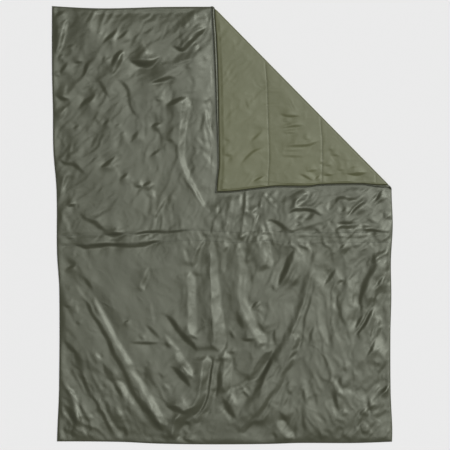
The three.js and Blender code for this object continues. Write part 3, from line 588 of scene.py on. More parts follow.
LOWER_CREASES = """
shade 1.5 2 -64 -17 -67 -18.5 -69.5 -20
shade 1.2>2.5 3 -63 -31 -60 -34 -57.5 -38.5 -55 -42 -52 -47.5 -49 -53 -47 -57 -44 -62 -40 -71 -35 -79 -31 -84 -27 -89.5 -24.5 -91
shine 1.2>2.5 3 -56.5 -31 -54 -36 -51 -42 -48 -48 -44.5 -54 -39 -64 -35 -71 -31 -77.5 -28 -83 -24 -88.5
shine .8 1.5 -65 -26 -60 -32 -56 -38
shade .8 1.5 -57 -34 -53.5 -41
shade 1.5 2 -62 -22 -58 -27 -56 -29
shade .6 1.5 -70 -25.5 -68.5 -28 -67.5 -31
shade .6 1.5 -68 -26.5 -67 -29.5
shade 1 2 -70 -34.5 -67.5 -36 -65.5 -36.3
shine 1 2 -63.5 -39 -64.5 -35
shine .8 1.5 -66.2 -34 -65.8 -32
shade 1.2 2 -65 -41.5 -63.5 -43.5 -62 -44.5
shine 1.6 3 -34 -29.5 -35 -26 -33 -22 -32.5 -18
shade 1 1.5 -40.5 -41 -44 -43.5
shade .8 1 -57.8 -48.5 -56.2 -50.5
shade 1 2.5 -42 -51.5 -38 -51.8 -33 -52 -26 -52
shade 1.5 2.5 -35 -43 -31 -46 -28.5 -49 -26 -50.5
shade 1.2 2 -37.5 -48.5 -34 -51
shine 1 1 -29.5 -44 -31 -38 -31 -34
shade 2 3 -70 -50 -66 -55 -64 -57
shine 3 2 -11 -49 -13 -45 -13.3 -35 -13.7 -25 -13.9 -20
shine 4.6>2.1 2.1 -1 -56 -1 -50 -1.3 -45 -2.2 -38 -2.7 -32 -3.4 -25 -3.8 -15 -4.5 -8 -5 -6.5
shine 1.4 2.5 .9 -22 .6 -12 2.5 -9.5 3.8 -7.5
shine 3.6>2.3 1.9 20 -52 17 -49 14.5 -45 12 -40 9.8 -35 8.6 -30 8.8 -25 9.3 -19 8 -12 8.3 -8.5
shade 2 2.5 15 -41 17.5 -46 19.5 -48
shade 1 2 16.5 -33 14 -35.5 12.5 -37.5
shine 1.5 2 15.5 -37 17.5 -33.5
shade 2 1.5 13 -19 13.3 -27
shade 1 3 21 -25 22.5 -28 24 -30
shade 1.5>2.5 3 -28 -38 -25.5 -39 -22 -42 -19 -46 -16 -49.5 -13 -52.5 -10 -56
shine 1.2 2.5 -18 -57 -22 -52 -26 -47
shade 1.5 2.5 -26 -50.5 -22 -55
shade .7 3 -14 -48 -12 -49.5 -10 -50.3
shade 1 3 2.5 -45.5 4.5 -48.5 6 -50.5
shine .7 2 7 -50 4.5 -47 2.5 -43
shade .9 3 7.5 -50 11 -50.3 15 -49.8
shade .8 2.5 2.5 -50.5 1.8 -53 1.3 -55.5
shade 1 3 3 -54 5.5 -57
shade .8 1 -6 -52 -4 -54
shade 1.5 2.5 22.5 -44 23 -50 24 -54
shade 3 1.5 5.5 -36 8 -42 10 -47
shade 3 .6 39 -17 37.5 -22 36 -27 34.5 -32 33 -37 31 -43 28.5 -48.5 26 -53 23 -58 18 -67 12 -77 5 -87
shine .8 2 39.8 -20 38 -27 35.5 -36 32 -45 29 -52
shade .9 2 39.5 -27 38.5 -33 36.5 -40 35.5 -46 35.3 -51 34 -56
shade 2 1.5 41 -42 39 -48 38 -55
shade 2 1.5 50 -18 48.5 -21.5 46 -24.5 43.5 -27.5
shade .8 1.5 50 -25 53 -24.5 55 -23.7
shade 1>2 2.5 49.8 -30 51 -33 52 -36 52 -39 54 -43.5 55 -47 56.5 -52
shade 1.2 2 45.5 -50 44.7 -54
shade 2.8 2.5 66.5 -11 66.8 -17 65.5 -21 63 -25 61.3 -30 61 -34 62 -38
shade 1.3 3 73 -23 71 -22.5 69 -25.5 67 -27.5 65.5 -28.5
shade 1.4 3.5 67 -35 65.5 -38 63 -43 60.5 -46.5 58.5 -49.5
shine .6 3 58 -48 60.5 -44.5 63 -40.5 64.5 -37
shade 1 2 63.5 -37.5 60 -42.5 58 -47
shade 1.5 2 68.5 -40 67 -46 65.5 -50
shade 1.2 3 68.5 -49 66 -53 64 -57 62.8 -60.5
shade .8 2 71.3 -30 71 -36 71.5 -42 73 -45
shade .8 2 70 -46 72 -48.5
"""
FOOT_CREASES = """
shade 6 2 -66 -53 -60 -66
shade 6 2 -53 -60 -46 -72
shade 6 1 -35 -60 -29 -72
shade 5 2 -70 -78 -63 -92
shade 6 1 -52 -76 -45 -90
shine 2 2 -67 -66 -69 -61
shine .8>1.8 3 -58.5 -95 -61 -89 -62 -85 -64 -79 -66 -74 -67.5 -71
shade 2.2 3 -71 -79.5 -67 -81 -64.5 -86 -63 -89.5
shine .8 2.5 -65 -88 -68 -84 -71 -81
shine .6 2.5 -66 -94.5 -68 -91 -68.5 -88.5
shade 3 1.5 -71 -89 -63 -93
shine 1.5 2 -52.5 -60 -55 -57 -56 -55
shade 1.2 2 -54 -56 -52 -58.5
shine 1.8 2.5 -38 -79.5 -41 -75 -44 -71 -46.5 -67.5
shade 1.5 3 -48 -69 -45.5 -73 -43 -76
shade 3 1.5 -42 -77 -40 -84
shine .7 2 -44.5 -75.5 -48 -71.5
shade 1.8 3 -56 -80.5 -53 -82 -51 -86 -49 -90 -46.5 -94
shine 1.5 2 -43.5 -95 -47 -90 -50.5 -85 -53 -79.5 -57 -73
shine 1 2 -41 -91 -43 -86 -46 -80 -47.5 -78.5
shade 1.3 2.5 -44 -88 -41.5 -94
shine 1.2 2 -56.5 -85.5 -59 -82
shine .5 1 -48 -76 -53 -76.7
shade 1.5 1.5 -54 -69.5 -50 -71.5
shade 1 2 -34 -59.5 -31 -61
shade 2 1.5 -28 -64 -26 -68
shine 2>3 3 -12.5 -67 -15 -63 -18 -59 -21 -55.5
shade .7 3 -19.5 -60.5 -17 -63.5 -15 -66.5
shine .6 3 -15.5 -66 -19 -62.5
shade 2.5 3 -24 -61.5 -20 -64 -17 -67 -13.5 -72
shine 1 2 -22.5 -72 -26 -69
shine .8 2 -15.5 -78.5 -18.5 -75.5
shade 3 3 -26 -79 -20 -81 -15 -83.5
shine 3.2 3.2 -20 -95 -19.5 -88 -17 -84 -12 -81 -10 -78.5 -8.5 -74 -7 -65 -6.5 -57
shade 1 3 -4.3 -57 -5 -65 -6 -71 -7 -76 -8.3 -80 -10.5 -83 -13 -85
shine 2 2 -12.5 -88 -9 -84 -6 -79 -4 -72 -3 -65 -2.5 -57
shade 1.8 2.5 -1.2 -59 -1.8 -66 -2 -72 -3 -76
shine 3 3 2 -74 2 -68 2.5 -60 1 -55
shine 1.5 2 7 -80 5 -76 2 -73.5
shade 3 3.5 -1 -74.5 2 -79 4.5 -83 6.5 -86.5
shine 1 2 4 -87 1.5 -82.5 -2.5 -79
shade .7 2 2 -86.5 3.5 -88.5
shade 2 3 -17.5 -86 -13 -88
shine 2 3 -13.5 -92 -16.5 -89 -18 -87.5
shade 1.5 3 -19 -92 -16.5 -94 -13 -96 -10 -96.5
shade .8 2.5 -10 -93 -5 -96.5
shade 1.3 3 8 -71.5 10 -74 12 -76.5
shine .7 2 12.5 -75.5 8.5 -70.5
shade .7 2 10.5 -70 13 -73.5
shade 1.5 1.5 6 -70 6.3 -76
shade .5 1.5 4 -58 7 -60.5
shade .5 1.5 4 -60 7.3 -62.5
shade .5 1.5 4.3 -62 7.5 -64.5
shine 3 1 12.5 -69 16 -62 22 -55
shade .8 2.5 24 -72 22 -76 20 -81 19 -82.5
shade 1 1.5 15 -84 13 -87
shade 1 2.5 22 -90 24 -94
shade 1 2 28 -72 31 -75
shade 1.5 2.5 33 -72 35.5 -72.5 36 -76 37.3 -79.5
shine 1 2 37.8 -79 37.5 -75
shade 2 2.5 24 -81 27 -84.5 29 -87.5
shine 4 2 32 -95 27 -89 24 -85
shade 1.6 3.5 47 -69.5 48.5 -74 50 -78 52 -84
shine 2 2 53 -75 50 -70 47.5 -66
shade 1.5 3 51 -65 52 -69 53 -73
shade 1.2 2 51.5 -61.5 54 -63.5 55.5 -65.5
shade 4 1 57 -63 60 -74
shade 2 3.5 64 -75.5 65 -80 65.5 -84
shade 1 3 61.5 -81 63.5 -85
shine 1 2 64 -84 62.5 -79
shade 1 3 60 -86.5 61.5 -90 62.5 -93.5
shine 1 1.5 67 -92 62.5 -87 59.5 -83 60.5 -77.5
shade 1 2 51 -88 54 -91
shade .8 2 40 -91 41 -94
shade 1.3 3 43.5 -89.5 43 -93 44.5 -95.5
shade 1.5 1 32 -90 32 -93
shade 1 3 75 -57 72.5 -60
shade .6 1.5 67.5 -58 71 -65
shade .6 1.5 74 -60 71 -65
shade 1.8 3.5 75 -68 72 -72 69 -75
shade 1 2.5 74.5 -80 72 -82
shade 1 1.5 71.5 -90 72.5 -92
shade 1 1.5 65.5 -72 66.5 -74
shade 1.5 2 66.5 -58 67.5 -64
shine 2 1 34 -48 31 -57 27 -66 21 -76 13 -86 7 -92
"""

# %% The softer creases of the lining on the turned corner
LINING_CREASES = """
shade 1 1 19 43 15 39 11 35
shade 1.2 1.3 20 34.5 14 32.5 10 29 7.5 25.5
shade .8 2 19 22 15 20 13 19
shade 1 .8 0 38.5 4 36.5
shade 1 .8 0 31 5 30.5
shade 1 .8 10 56 12 50
shade 1.5 1 24 49.5 29 48 35 48
shade 1 .8 25.5 45.5 31 45.5
shade 1.2 1.5 24.5 43 27 42.8 31 43.5 37 43.5
shade 1 .8 25 40.7 34 40.5
shade 1 .8 35 37.8 39 37.8
shade 1.2 1.2 25.5 34.6 32 34.8 38 35.3 43 37 44.5 37.2
shade 1 .8 24 32.5 33 32.8 38 32.8
shade 1 .8 24 30.5 38 30
shade 1 .8 46 33.5 49 32.8
shade 1 .8 47 31 52 30.5
shade 1 .8 42 26.8 45 28
shade 1 .8 44 26.5 49 26
shade 1 1 35 23.5 43 24.3
shade 1.2 1.5 33 22.8 36.5 21.5 39.5 19.5 40 18.5
shade 1 1 43 22.5 40.5 19.5
shade 1 .8 44 22 49 22
shade 1.5 1.2 54 22.5 60 22.5 65 23.5
shade 1 .8 50 24 54 24.5
shade 1 1 65 21 68 22.5
shade .8 1 1 21 -1 19
"""

# %% Heights of the creases
WINDOW = np.array([0.91, 0.42])  # the way to the window, seen from above
# slope: that of a crease of strength 1. widening: of its face, against the streak that it makes. taper: the
# length over which its ends run out. hollow: the share by which its face is steeper at the foot
SIDES = {
    "shade": {"slope": 0.12, "widening": 1.35, "taper": 0.07, "hollow": 0.25},
    "shine": {"slope": 0.125, "widening": 1.25, "taper": 0.03, "hollow": 0},
}
STRENGTH_POWER = 0.65       # a strong crease is steeper than a faint one, but not in proportion
LEAST_FACING = 0.55         # creases that run towards the window are made steeper, up to this share
CREST_SHARE = 0.55          # of a crease's height, what stands above the cloth beside it
TAIL_BASE = 15 * MM         # crest and hollow die away over this, and so many widths more
TAIL_WIDTHS = 2.5
NARROWEST = 0.12            # a crease runs out to a point, down to this share of its width
STUBBIEST = 0.3             # most width of a short crease, as a share of its length
RUN_STEP = 8 * MM


def crease(side, widths, strength, run):
    """A crease as (its widths at both ends, slope, traits of its side, places along its run). The run is
    turned round where that is needed to have the crest on its left."""
    way = (run[-1] - run[0]) / np.linalg.norm(run[-1] - run[0])
    facing = np.array([way[1], -way[0]]) @ WINDOW
    if (facing > 0) != (side == "shine"):
        run, widths = run[::-1], widths[::-1]
    slope = SIDES[side]["slope"] * strength ** STRENGTH_POWER / max(abs(facing), LEAST_FACING)
    return (widths[0], widths[-1]), slope, SIDES[side], run


def read_creases(text):
    rows = []
    for line in text.strip().splitlines():
        side, width, strength, *places = line.split()
        widths = [float(w) * CM * SIDES[side]["widening"] for w in width.split(">")]
        rows.append(crease(side, widths, float(strength), np.array(places, float).reshape(-1, 2) * CM))
    return rows


def smooth_run(run):
    """The run as a smooth curve, in steps of RUN_STEP."""
    if len(run) < 3:
        return run
    travelled = np.concatenate([[0], np.cumsum(np.linalg.norm(np.diff(run, axis=0), axis=1))])
    at = np.linspace(0, travelled[-1], max(2, round(travelled[-1] / RUN_STEP)))
    return np.stack([along(np.stack([travelled, run[:, k]], 1), at) for k in (0, 1)], 1)


def crease_heights(creases, xy):
    """Height of all the creases together at these places."""
    heights = np.zeros(len(xy))
    for (first_width, last_width), slope, traits, run in creases:
        line = smooth_run(run)
        reach = max(first_width, last_width) * (0.5 + TAIL_WIDTHS) + TAIL_BASE
        near = np.flatnonzero(np.all((xy > line.min(0) - reach) & (xy < line.max(0) + reach), axis=1))
        if not len(near):
            continue

        # The nearest point of the run: how far off it is, on which side, and how far along
        here, nearest = xy[near], np.full(len(near), np.inf)
        side, where, travelled = np.zeros(len(near)), np.zeros(len(near)), 0.0
        for a, b in zip(line, line[1:]):
            length = np.linalg.norm(b - a)
            way = (b - a) / length
            from_a = here - a
            t = np.clip(from_a @ way, 0, length)
            away = from_a - t[:, None] * way
            distance = np.hypot(*away.T)
            closer = distance < nearest
            nearest = np.where(closer, distance, nearest)
            side = np.where(closer, way[0] * away[:, 1] - way[1] * away[:, 0], side)
            where = np.where(closer, travelled + t, where)
            travelled += length

        # The height there: a steep face from crest to foot, and a tail on either side of it
        width = first_width + (last_width - first_width) * where / travelled
        width = np.minimum(width, STUBBIEST * travelled)
        tail = TAIL_BASE + TAIL_WIDTHS * width
        run_out = min(travelled / 2, traits["taper"])
        fade = ramp(where, 0, run_out) * ramp(travelled - where, 0, run_out)
        width = width * np.maximum(fade, NARROWEST)
        off = np.sign(side) * nearest
        across = np.clip(off / width, -0.5, 0.5)
        if traits["hollow"]:
            across = 0.5 * np.sin(math.pi * across)
        face = CREST_SHARE - 0.5 + across - traits["hollow"] * (across ** 2 - 0.25)
        left = np.clip(1 - (np.abs(off) - width / 2) / tail, 0, 1)
        heights[near] += slope * width * face * left ** 2 * np.minimum(fade / NARROWEST, 1)
    return heights


shell_tables = (HEAD_CREASES, UPPER_CREASES, MIDDLE_CREASES, LOWER_CREASES, FOOT_CREASES)
shell_creases = [row for table in shell_tables for row in read_creases(table)]
lining_creases = read_creases(LINING_CREASES)
print(len(shell_creases), "creases in the shell,", len(lining_creases), "in the lining")

# %% [markdown]
# ## Small folds that no table holds
# Between its creases the cloth is never flat: small folds run over it, one way in one part and another way
# in the next, and every line of stitches gathers it. There are too many to place by hand, so seeded noise
# makes them: random heights on a lattice, joined by smooth curves. Where the noise crosses zero it is folded
# over, which gives narrow ridges, and a stretched lattice gives long ones. Short creases of the same kind
# as above are strewn along the same directions.

# %% Seeded noise
NOISE_START = 2             # the lattice starts this far left of the blanket's middle, and below it


def soft_noise(x, y, cell, seed):
    """Smooth random heights from -1 to 1, the same each time for the same seed. cell is the lattice's
    size, one number or one across and one up."""
    cell_x, cell_y = np.broadcast_to(cell, 2)
    u, v = (x + NOISE_START) / cell_x, (y + NOISE_START) / cell_y
    i, j = np.floor(u).astype(int), np.floor(v).astype(int)
    lattice = np.random.default_rng(seed).uniform(-1, 1, (i.max() + 2, j.max() + 2))
    s, t = u - i, v - j
    s, t = s * s * s * (s * (s * 6 - 15) + 10), t * t * t * (t * (t * 6 - 15) + 10)
    low = lattice[i, j] * (1 - s) + lattice[i + 1, j] * s
    high = lattice[i, j + 1] * (1 - s) + lattice[i + 1, j + 1] * s
    return low * (1 - t) + high * t


def wandering(x, y, reach, cell, seed):
    """The same places, each moved a little this way or that, so that straight lines bend."""
    reach_x, reach_y = np.broadcast_to(reach, 2)
    return x + reach_x * soft_noise(x, y, cell, seed), y + reach_y * soft_noise(x, y, cell, seed + 1)


def ridges(x, y, cell, seed, rounding):
    """Narrow folds, from -1 between them to 1 on their crests, which are rounded by this much."""
    return 1 - 2 * np.hypot(soft_noise(x, y, cell, seed), rounding)


def crumples(x, y, cell, seed):
    """Sharp little ridges that wander over the cloth, from 0 to 1."""
    bent_x, bent_y = wandering(x, y, 0.5 * cell, cell, seed)
    return (1 - np.abs(soft_noise(bent_x, bent_y, cell, seed + 2))) ** 2


def beside(distance, reach):
    """1 on a line, and dying away over this reach on both sides of it."""
    return np.exp(-((distance / reach) ** 2))


def patchy(x, y, varies, cell, seed):
    """How strong small folds are from place to place: from 1 down to 1 - 2 * varies."""
    return 1 - varies + varies * soft_noise(x, y, cell, seed)


print("noise at the middle:", round(float(soft_noise(np.zeros(1), np.zeros(1), cell=0.1, seed=1)[0]), 3))

# %% Small folds and short creases along the grain
# Which way the small folds run in each part of the shell: a place in centimetres, the direction in degrees
# from the blanket's width, and how strong they are there
GRAIN = [
    (-60, 85, 50, 0.9), (-30, 85, 45, 0.85), (-55, 65, 40, 0.9), (-25, 65, 20, 0.7), (-55, 40, 45, 0.8),
    (-20, 45, 80, 0.7), (-60, 10, 40, 0.5), (-20, 8, 80, 0.6), (10, 8, 75, 0.9), (45, 8, 30, 1.0),
    (68, 0, 40, 1.0), (-60, -30, 130, 0.3), (-35, -35, 120, 0.25), (-5, -35, 88, 0.3), (25, -25, 70, 0.6),
    (50, -35, 95, 1.1), (70, -35, 80, 1.3), (-60, -80, 120, 1.0), (-35, -85, 125, 0.6), (-5, -80, 60, 0.4),
    (25, -75, 60, 1.0), (50, -80, 110, 1.3), (70, -85, 60, 1.4),
]
GRAIN_REACH = 0.11          # one part's grain gives way to the next one's over about this distance
FOLD_HEIGHT = 2.6 * MM
FOLD_SIZES = [(1.2, 0.09, 100), (0.65, 0.042, 200), (0.5, 0.018, 300)]  # share of the height, cell, seed
FOLD_STRETCH = 4.5          # length of a small fold, in its own widths
FOLD_WANDER = 2.5           # and the distance over which it bends
FOLD_ROUNDING = 0.07
FOLD_LEAN = 2.0             # how far a small fold leans from the window, in its own heights
STREWN_SEED = 7
STREWN_COUNT = 9            # short creases in each part
STREWN_REACH = 0.13         # how far they lie from the part's place
STREWN_TURN = 16            # spread of their direction about its grain, in degrees
STREWN_LENGTH = (0.05, 0.14)
STREWN_WIDTH = (0.006, 0.02)
STREWN_STRENGTH = (0.2, 0.8)  # times the part's own strength
STREWN_BOW = 0.09           # spread of how far their middle bends out, in lengths
STREWN_SHADE = 0.65         # share of them that turns from the window


def wrinkles(x, y, cell, seed):
    """Small folds along the grain, from -1 to 1."""
    bent_x, bent_y = wandering(x, y, cell, FOLD_WANDER * cell, seed)
    height, total = 0.0, 1e-9
    for n, (grain_x, grain_y, degrees, strength) in enumerate(GRAIN):
        near = np.exp(-((x - grain_x * CM) ** 2 + (y - grain_y * CM) ** 2) / (2 * GRAIN_REACH ** 2))
        cosine, sine = math.cos(math.radians(degrees)), math.sin(math.radians(degrees))
        u, v = bent_x * cosine + bent_y * sine, bent_y * cosine - bent_x * sine
        folds = ridges(u, v, (cell * FOLD_STRETCH, cell), seed + 2 + n, FOLD_ROUNDING)
        height, total = height + near * strength * folds, total + near
    return height / total


def small_folds(x, y):
    return FOLD_HEIGHT * sum(share * wrinkles(x, y, cell, seed) for share, cell, seed in FOLD_SIZES)


def strewn_creases():
    """Short creases along the grain, a few in each part of the shell."""
    random = np.random.default_rng(STREWN_SEED)
    creases = []
    for grain_x, grain_y, degrees, strength in GRAIN:
        for _ in range(STREWN_COUNT):
            middle = np.array([grain_x, grain_y]) * CM + random.uniform(-STREWN_REACH, STREWN_REACH, 2)
            angle = math.radians(degrees + random.normal(0, STREWN_TURN))
            way = np.array([math.cos(angle), math.sin(angle)])
            length = random.uniform(*STREWN_LENGTH)
            bow = random.normal(0, STREWN_BOW) * length * np.array([-way[1], way[0]])
            run = np.array([middle - way * length / 2, middle + bow, middle + way * length / 2])
            side = "shade" if random.random() < STREWN_SHADE else "shine"
            widths = [random.uniform(*STREWN_WIDTH)]
            creases.append(crease(side, widths, strength * random.uniform(*STREWN_STRENGTH), run))
    return creases


strewn = strewn_creases()
print(len(strewn), "short creases strewn over the shell")

# %% [markdown]
# ## The shell
# The shell is one cloth over the whole blanket, turned round the rim as a hem. Its face is a height field.
# The filling lifts it most where it is far from the rim. On that lie the creases and small folds, with a
# trough along each row of the gathered seam across the middle, folds that fan out from those rows, and
# puckers along the rim. Where the turned corner lies on the shell, it is pressed flat, so that the two
# layers stay a little apart.

# %% How the shell's face stands over the quilt's middle
SHELL_PITCH = 6.1 * MM      # most distance between the net's columns and between its rows
# Across the rim, from the edge inwards: distance from the edge, height of the shell's face and of the hem's,
# and how much the hem swells where nothing presses it
RIM_INSETS = [v * MM for v in (0, 1, 2.5, 5, 8, 10)]
RIM_FACE = [v * MM for v in (-1.0, 0.6, 1.6, 2.3, 2.8, 3.0)]
HEM_FACE = [v * MM for v in (-2.6, -3.6, -4, -4, -4, -3)]
HEM_CROWN = [v * MM for v in (0, 0.3, 0.7, 1.0, 0.7, 0)]
BEAD_SHARE = 0.7            # share by which the swelling varies along the hem, like beads
RIM_PUFF = 1 * MM           # most height that the folds have left on the rim
THINNEST = 1.0 * MM         # least distance of the shell's face from the quilt's middle
LOFT = 8 * MM               # how much higher the cloth lies where nothing presses it
LOFT_FALL = 0.13            # it falls off towards the head and the foot over this
SIDE_SHARE = 0.45           # and towards the sides more slowly, by this share
LOFT_WAVER = 0.03           # and these distances vary by this
UNDER_FLAP = 0.012          # creases and loft start to rise so far under the turned corner
CREASES_CLEAR = 0.018       # creases have their full height at this distance from it
LOFT_CLEAR = 0.10           # and the loft has it at this one
RIM_FADE = 0.030            # both die away towards the rim over this
CREASE_WAVER = 3 * MM       # how far a crease strays from its smooth run
CREASE_UNEVEN = 0.25        # and by what share its height varies
WAVE_HEIGHT = 2.5 * MM      # broad waves under the creases
SEAM_TROUGH = 2.0 * MM
SEAM_HALF = 7 * MM
GATHER_HEIGHT = 2.4 * MM
GATHER_FROM = (-0.30, -0.08)  # the seam is plain left of these places, and gathered right of them
PLAIN_GATHERS = 0.12        # share of the gathers that is left where it is plain
TROUGH_LOST = 0.7           # share of the trough that the gathers fill up
GATHER_SLANT = 0.45         # the gathers lean by this slope
SLANT_VARIES = 0.8          # which varies by this share
GATHER_WAVER = 0.014        # and they stray by this
GATHER_VARIES = 0.4
GATHERS = [(0.6, (0.015, 0.07), 0.035, 31), (1.2, (0.038, 0.12), 0.08, 32)]  # share, cell, reach, seed
PUCKER_HEIGHT = 1.8 * MM
PUCKER_REACH = 0.035
PUCKER_NARROW, PUCKER_LONG = 0.017, 0.09
PUCKER_VARIES = 0.5


def clear_of_flap(xy, reach):
    """How far the cloth is free of the turned corner: 0 under it, 1 beyond the reach from its edge."""
    x, y = xy.T
    down_edge = (flap_head[1] - y) / (flap_head[1] - FLAP_TIP[1])
    along_foot = (x - FLAP_TIP[0]) / (flap_right[0] - FLAP_TIP[0])
    past_left = flap_head[0] + (FLAP_TIP[0] - flap_head[0]) * down_edge - x
    past_foot = FLAP_TIP[1] + (flap_right[1] - FLAP_TIP[1]) * along_foot - y
    return ramp(np.maximum(past_left, past_foot), -UNDER_FLAP, reach)


def seam_rise(x, y):
    """The two troughs of the gathered seam, and the small folds that fan out from them."""
    off = y - SEAM_MIDDLE - along(SEAM_DRIFT, x / MM) * MM
    trough = sum(beside(off - row, SEAM_HALF) for row in (-SEAM_SPREAD / 2, SEAM_SPREAD / 2))
    gathered = ramp(x, *GATHER_FROM)
    slant = x + GATHER_SLANT * off * (1 + SLANT_VARIES * soft_noise(x, y, cell=(0.15, 0.10), seed=29))
    wander = slant + GATHER_WAVER * soft_noise(x, y, cell=(0.035, 0.03), seed=30)
    folds = sum(share * ridges(wander, y, cell, seed, 0) * beside(off, reach)
                for share, cell, reach, seed in GATHERS)
    folds = folds * patchy(x, y, GATHER_VARIES, cell=(0.09, 0.05), seed=33)
    rise = GATHER_HEIGHT * (PLAIN_GATHERS + (1 - PLAIN_GATHERS) * gathered) * folds
    return rise - SEAM_TROUGH * trough * (1 - TROUGH_LOST * gathered)


def rim_puckers(x, y, sides, ends):
    """Small gathers across the rim, stronger on some stretches than on others."""
    across_ends = soft_noise(x, y, cell=(PUCKER_NARROW, PUCKER_LONG), seed=41) * beside(ends, PUCKER_REACH)
    across_sides = soft_noise(x, y, cell=(PUCKER_LONG, PUCKER_NARROW), seed=42) * beside(sides, PUCKER_REACH)
    stretches = patchy(x, y, PUCKER_VARIES, cell=0.16, seed=43)
    return PUCKER_HEIGHT * (across_ends + across_sides) * stretches


def shell_rise(net):
    """How far the shell's face lies from the quilt's middle."""
    xy = net.at[:, :2]
    x, y = xy.T
    sides = np.minimum(x - left_x(y), right_x(y) - x)
    ends = np.minimum(head_y(x) - y, y - foot_y(x))
    inside = ramp(np.minimum(sides, ends), 0, RIM_FADE)

    bent = np.stack(wandering(x, y, CREASE_WAVER, cell=0.05, seed=11), 1)
    uneven = 1 + CREASE_UNEVEN * soft_noise(x, y, cell=0.035, seed=13)
    folds = small_folds(x, y)
    folds = small_folds(x + FOLD_LEAN * folds * WINDOW[0], y + FOLD_LEAN * folds * WINDOW[1])
    waves = WAVE_HEIGHT * soft_noise(x, y, cell=(0.10, 0.12), seed=21)
    creased = uneven * crease_heights(shell_creases + strewn, bent) + waves + folds + seam_rise(x, y)
    creased = creased * inside + rim_puckers(x, y, sides, ends)

    from_rim = np.minimum(ends, SIDE_SHARE * sides) + LOFT_WAVER * soft_noise(x, y, cell=0.11, seed=14)
    loft = LOFT * ramp(from_rim, 0, LOFT_FALL) * inside
    loose = clear_of_flap(xy, LOFT_CLEAR) * loft + clear_of_flap(xy, CREASES_CLEAR) * creased
    rise = np.maximum(THINNEST, SHELL_DEPTH + loose)
    return np.where(net.part == FLAT, rise, SHELL_DEPTH)


# %% Build the shell cloth
rim_steps = len(RIM_INSETS) - 1
far_insets = [block_side - inset for inset in reversed(RIM_INSETS)]
shell_corner = stepped([*RIM_INSETS, *far_insets], SHELL_PITCH) / block_side
seam_from_foot = flat_foot + SEAM_MIDDLE - roll_right[1]
shell_net = Net(
    left=stepped([*RIM_INSETS, flat_left], SHELL_PITCH)[:-1] / flat_left,
    low=stepped([*RIM_INSETS, seam_from_foot, flat_foot], SHELL_PITCH)[:-1] / flat_foot,
    corner=shell_corner,
    turned=shell_corner,
)
shell_face = shell_rise(shell_net)
hem_face = np.full(len(shell_net.at), -LINING_DEPTH)
lifted = ramp(shell_net.at[:, 2], MIDDLE_Z + BEND_RADIUS, MIDDLE_Z + 1.5 * BEND_RADIUS)
beads = 1 + BEAD_SHARE * soft_noise(*shell_net.at[:, :2].T, cell=0.014, seed=61)
for inset in range(rim_steps, -1, -1):
    ring = np.array([number for _, number in shell_net.ring(inset)])
    puffed = np.clip(shell_face[ring] - SHELL_DEPTH, -RIM_PUFF, RIM_PUFF) * inset / rim_steps
    shell_face[ring] = RIM_FACE[inset] + puffed
    hem_face[ring] = HEM_FACE[inset] - HEM_CROWN[inset] * lifted[ring] * beads[ring]

shell_skin = Skin(shell_net)
outer = shell_skin.layer(shell_face)
hem = shell_skin.layer(hem_face)
inner = shell_skin.layer(np.full(len(shell_net.at), PARTING / 2))
shell_skin.add(shell_net.cells(), outer)
shell_skin.wall(shell_net.ring(0), hem, outer)
shell_skin.add(shell_net.cells(rim=rim_steps), hem, turned_in=True)
shell_skin.wall(shell_net.ring(rim_steps), hem, inner, faces_in=True)
columns, rows = sparse(shell_net, rim_steps + BAND_STEPS)
sparse_ring = shell_net.ring(rim_steps + BAND_STEPS, columns, rows)
shell_skin.band(shell_net.ring(rim_steps), sparse_ring, inner, turned_in=True)
shell_skin.add(shell_net.cells(columns, rows), inner, turned_in=True)
shell_cloth = shell_skin.mesh("shell_cloth")

# %% [markdown]
# ## The lining
# The lining lies under the shell, and on top where the corner is turned over. Rows of stitches go through
# it and its half of the filling, parallel to the blanket's head, so it stands up in shallow channels.
# It could stop where the shell covers it, but the real one doesn't: here too it is one cloth, from the
# hidden side round the fold to the turned corner. Nothing presses it on the turned corner, so the channels,
# the soft creases and the fine wrinkles show there. Elsewhere it lies on the floor, with few points.

# %% How the lining's face stands off the quilt's middle
LINING_PITCH = 5.4 * MM
UNDERSIDE_PITCH = 0.110
# Across the lining's edge, which lies inside the hem: distance from the blanket's edge, and depth
LINING_INSETS = [v * MM for v in (11.5, 13, 15.5, 19, 24)]
LINING_EDGE = [v * MM for v in (1.6, 2.7, 3.5, 3.9, 4)]
CHANNEL_FIRST = 0.229       # distance of the first row of stitches from the blanket's head
CHANNEL_PITCH = 0.238
CHANNEL_ROWS = 7
ROW_HALF = 6 * MM
ROW_TROUGH = 1.8 * MM
RAISED_TROUGH = 0.5         # share of the trough where nothing presses the lining
CHANNEL_CROWN = 1.5 * MM
FLAP_FREE = 0.05            # the lining is free of the roll's pull at this distance
WAVES_HIGH = 0.9 * MM       # heights of the small waves, crumples, gathers and puckers
CRUMPLES_HIGH = 0.8 * MM
GATHERS_HIGH = 0.35 * MM
GATHERS_REACH = 0.02
ROLL_PUCKERS_HIGH = 0.8 * MM
ROLL_PUCKERS_REACH = 0.022
ROLL_CRUMPLES_HIGH = 0.25 * MM
CREASE_FACTOR = 1.5         # the lining's creases are higher than the shell's for the same strength
WRINKLE_HEIGHT = 1.5 * MM
WRINKLE_WAVER = (0.012, 0.008)
WRINKLE_VARIES = 0.45
WRINKLES_LEVEL = (0.12, 0.24)  # slanting wrinkles turn into level ones between these places

row_places = [CHANNEL_FIRST + n * CHANNEL_PITCH for n in range(CHANNEL_ROWS)]


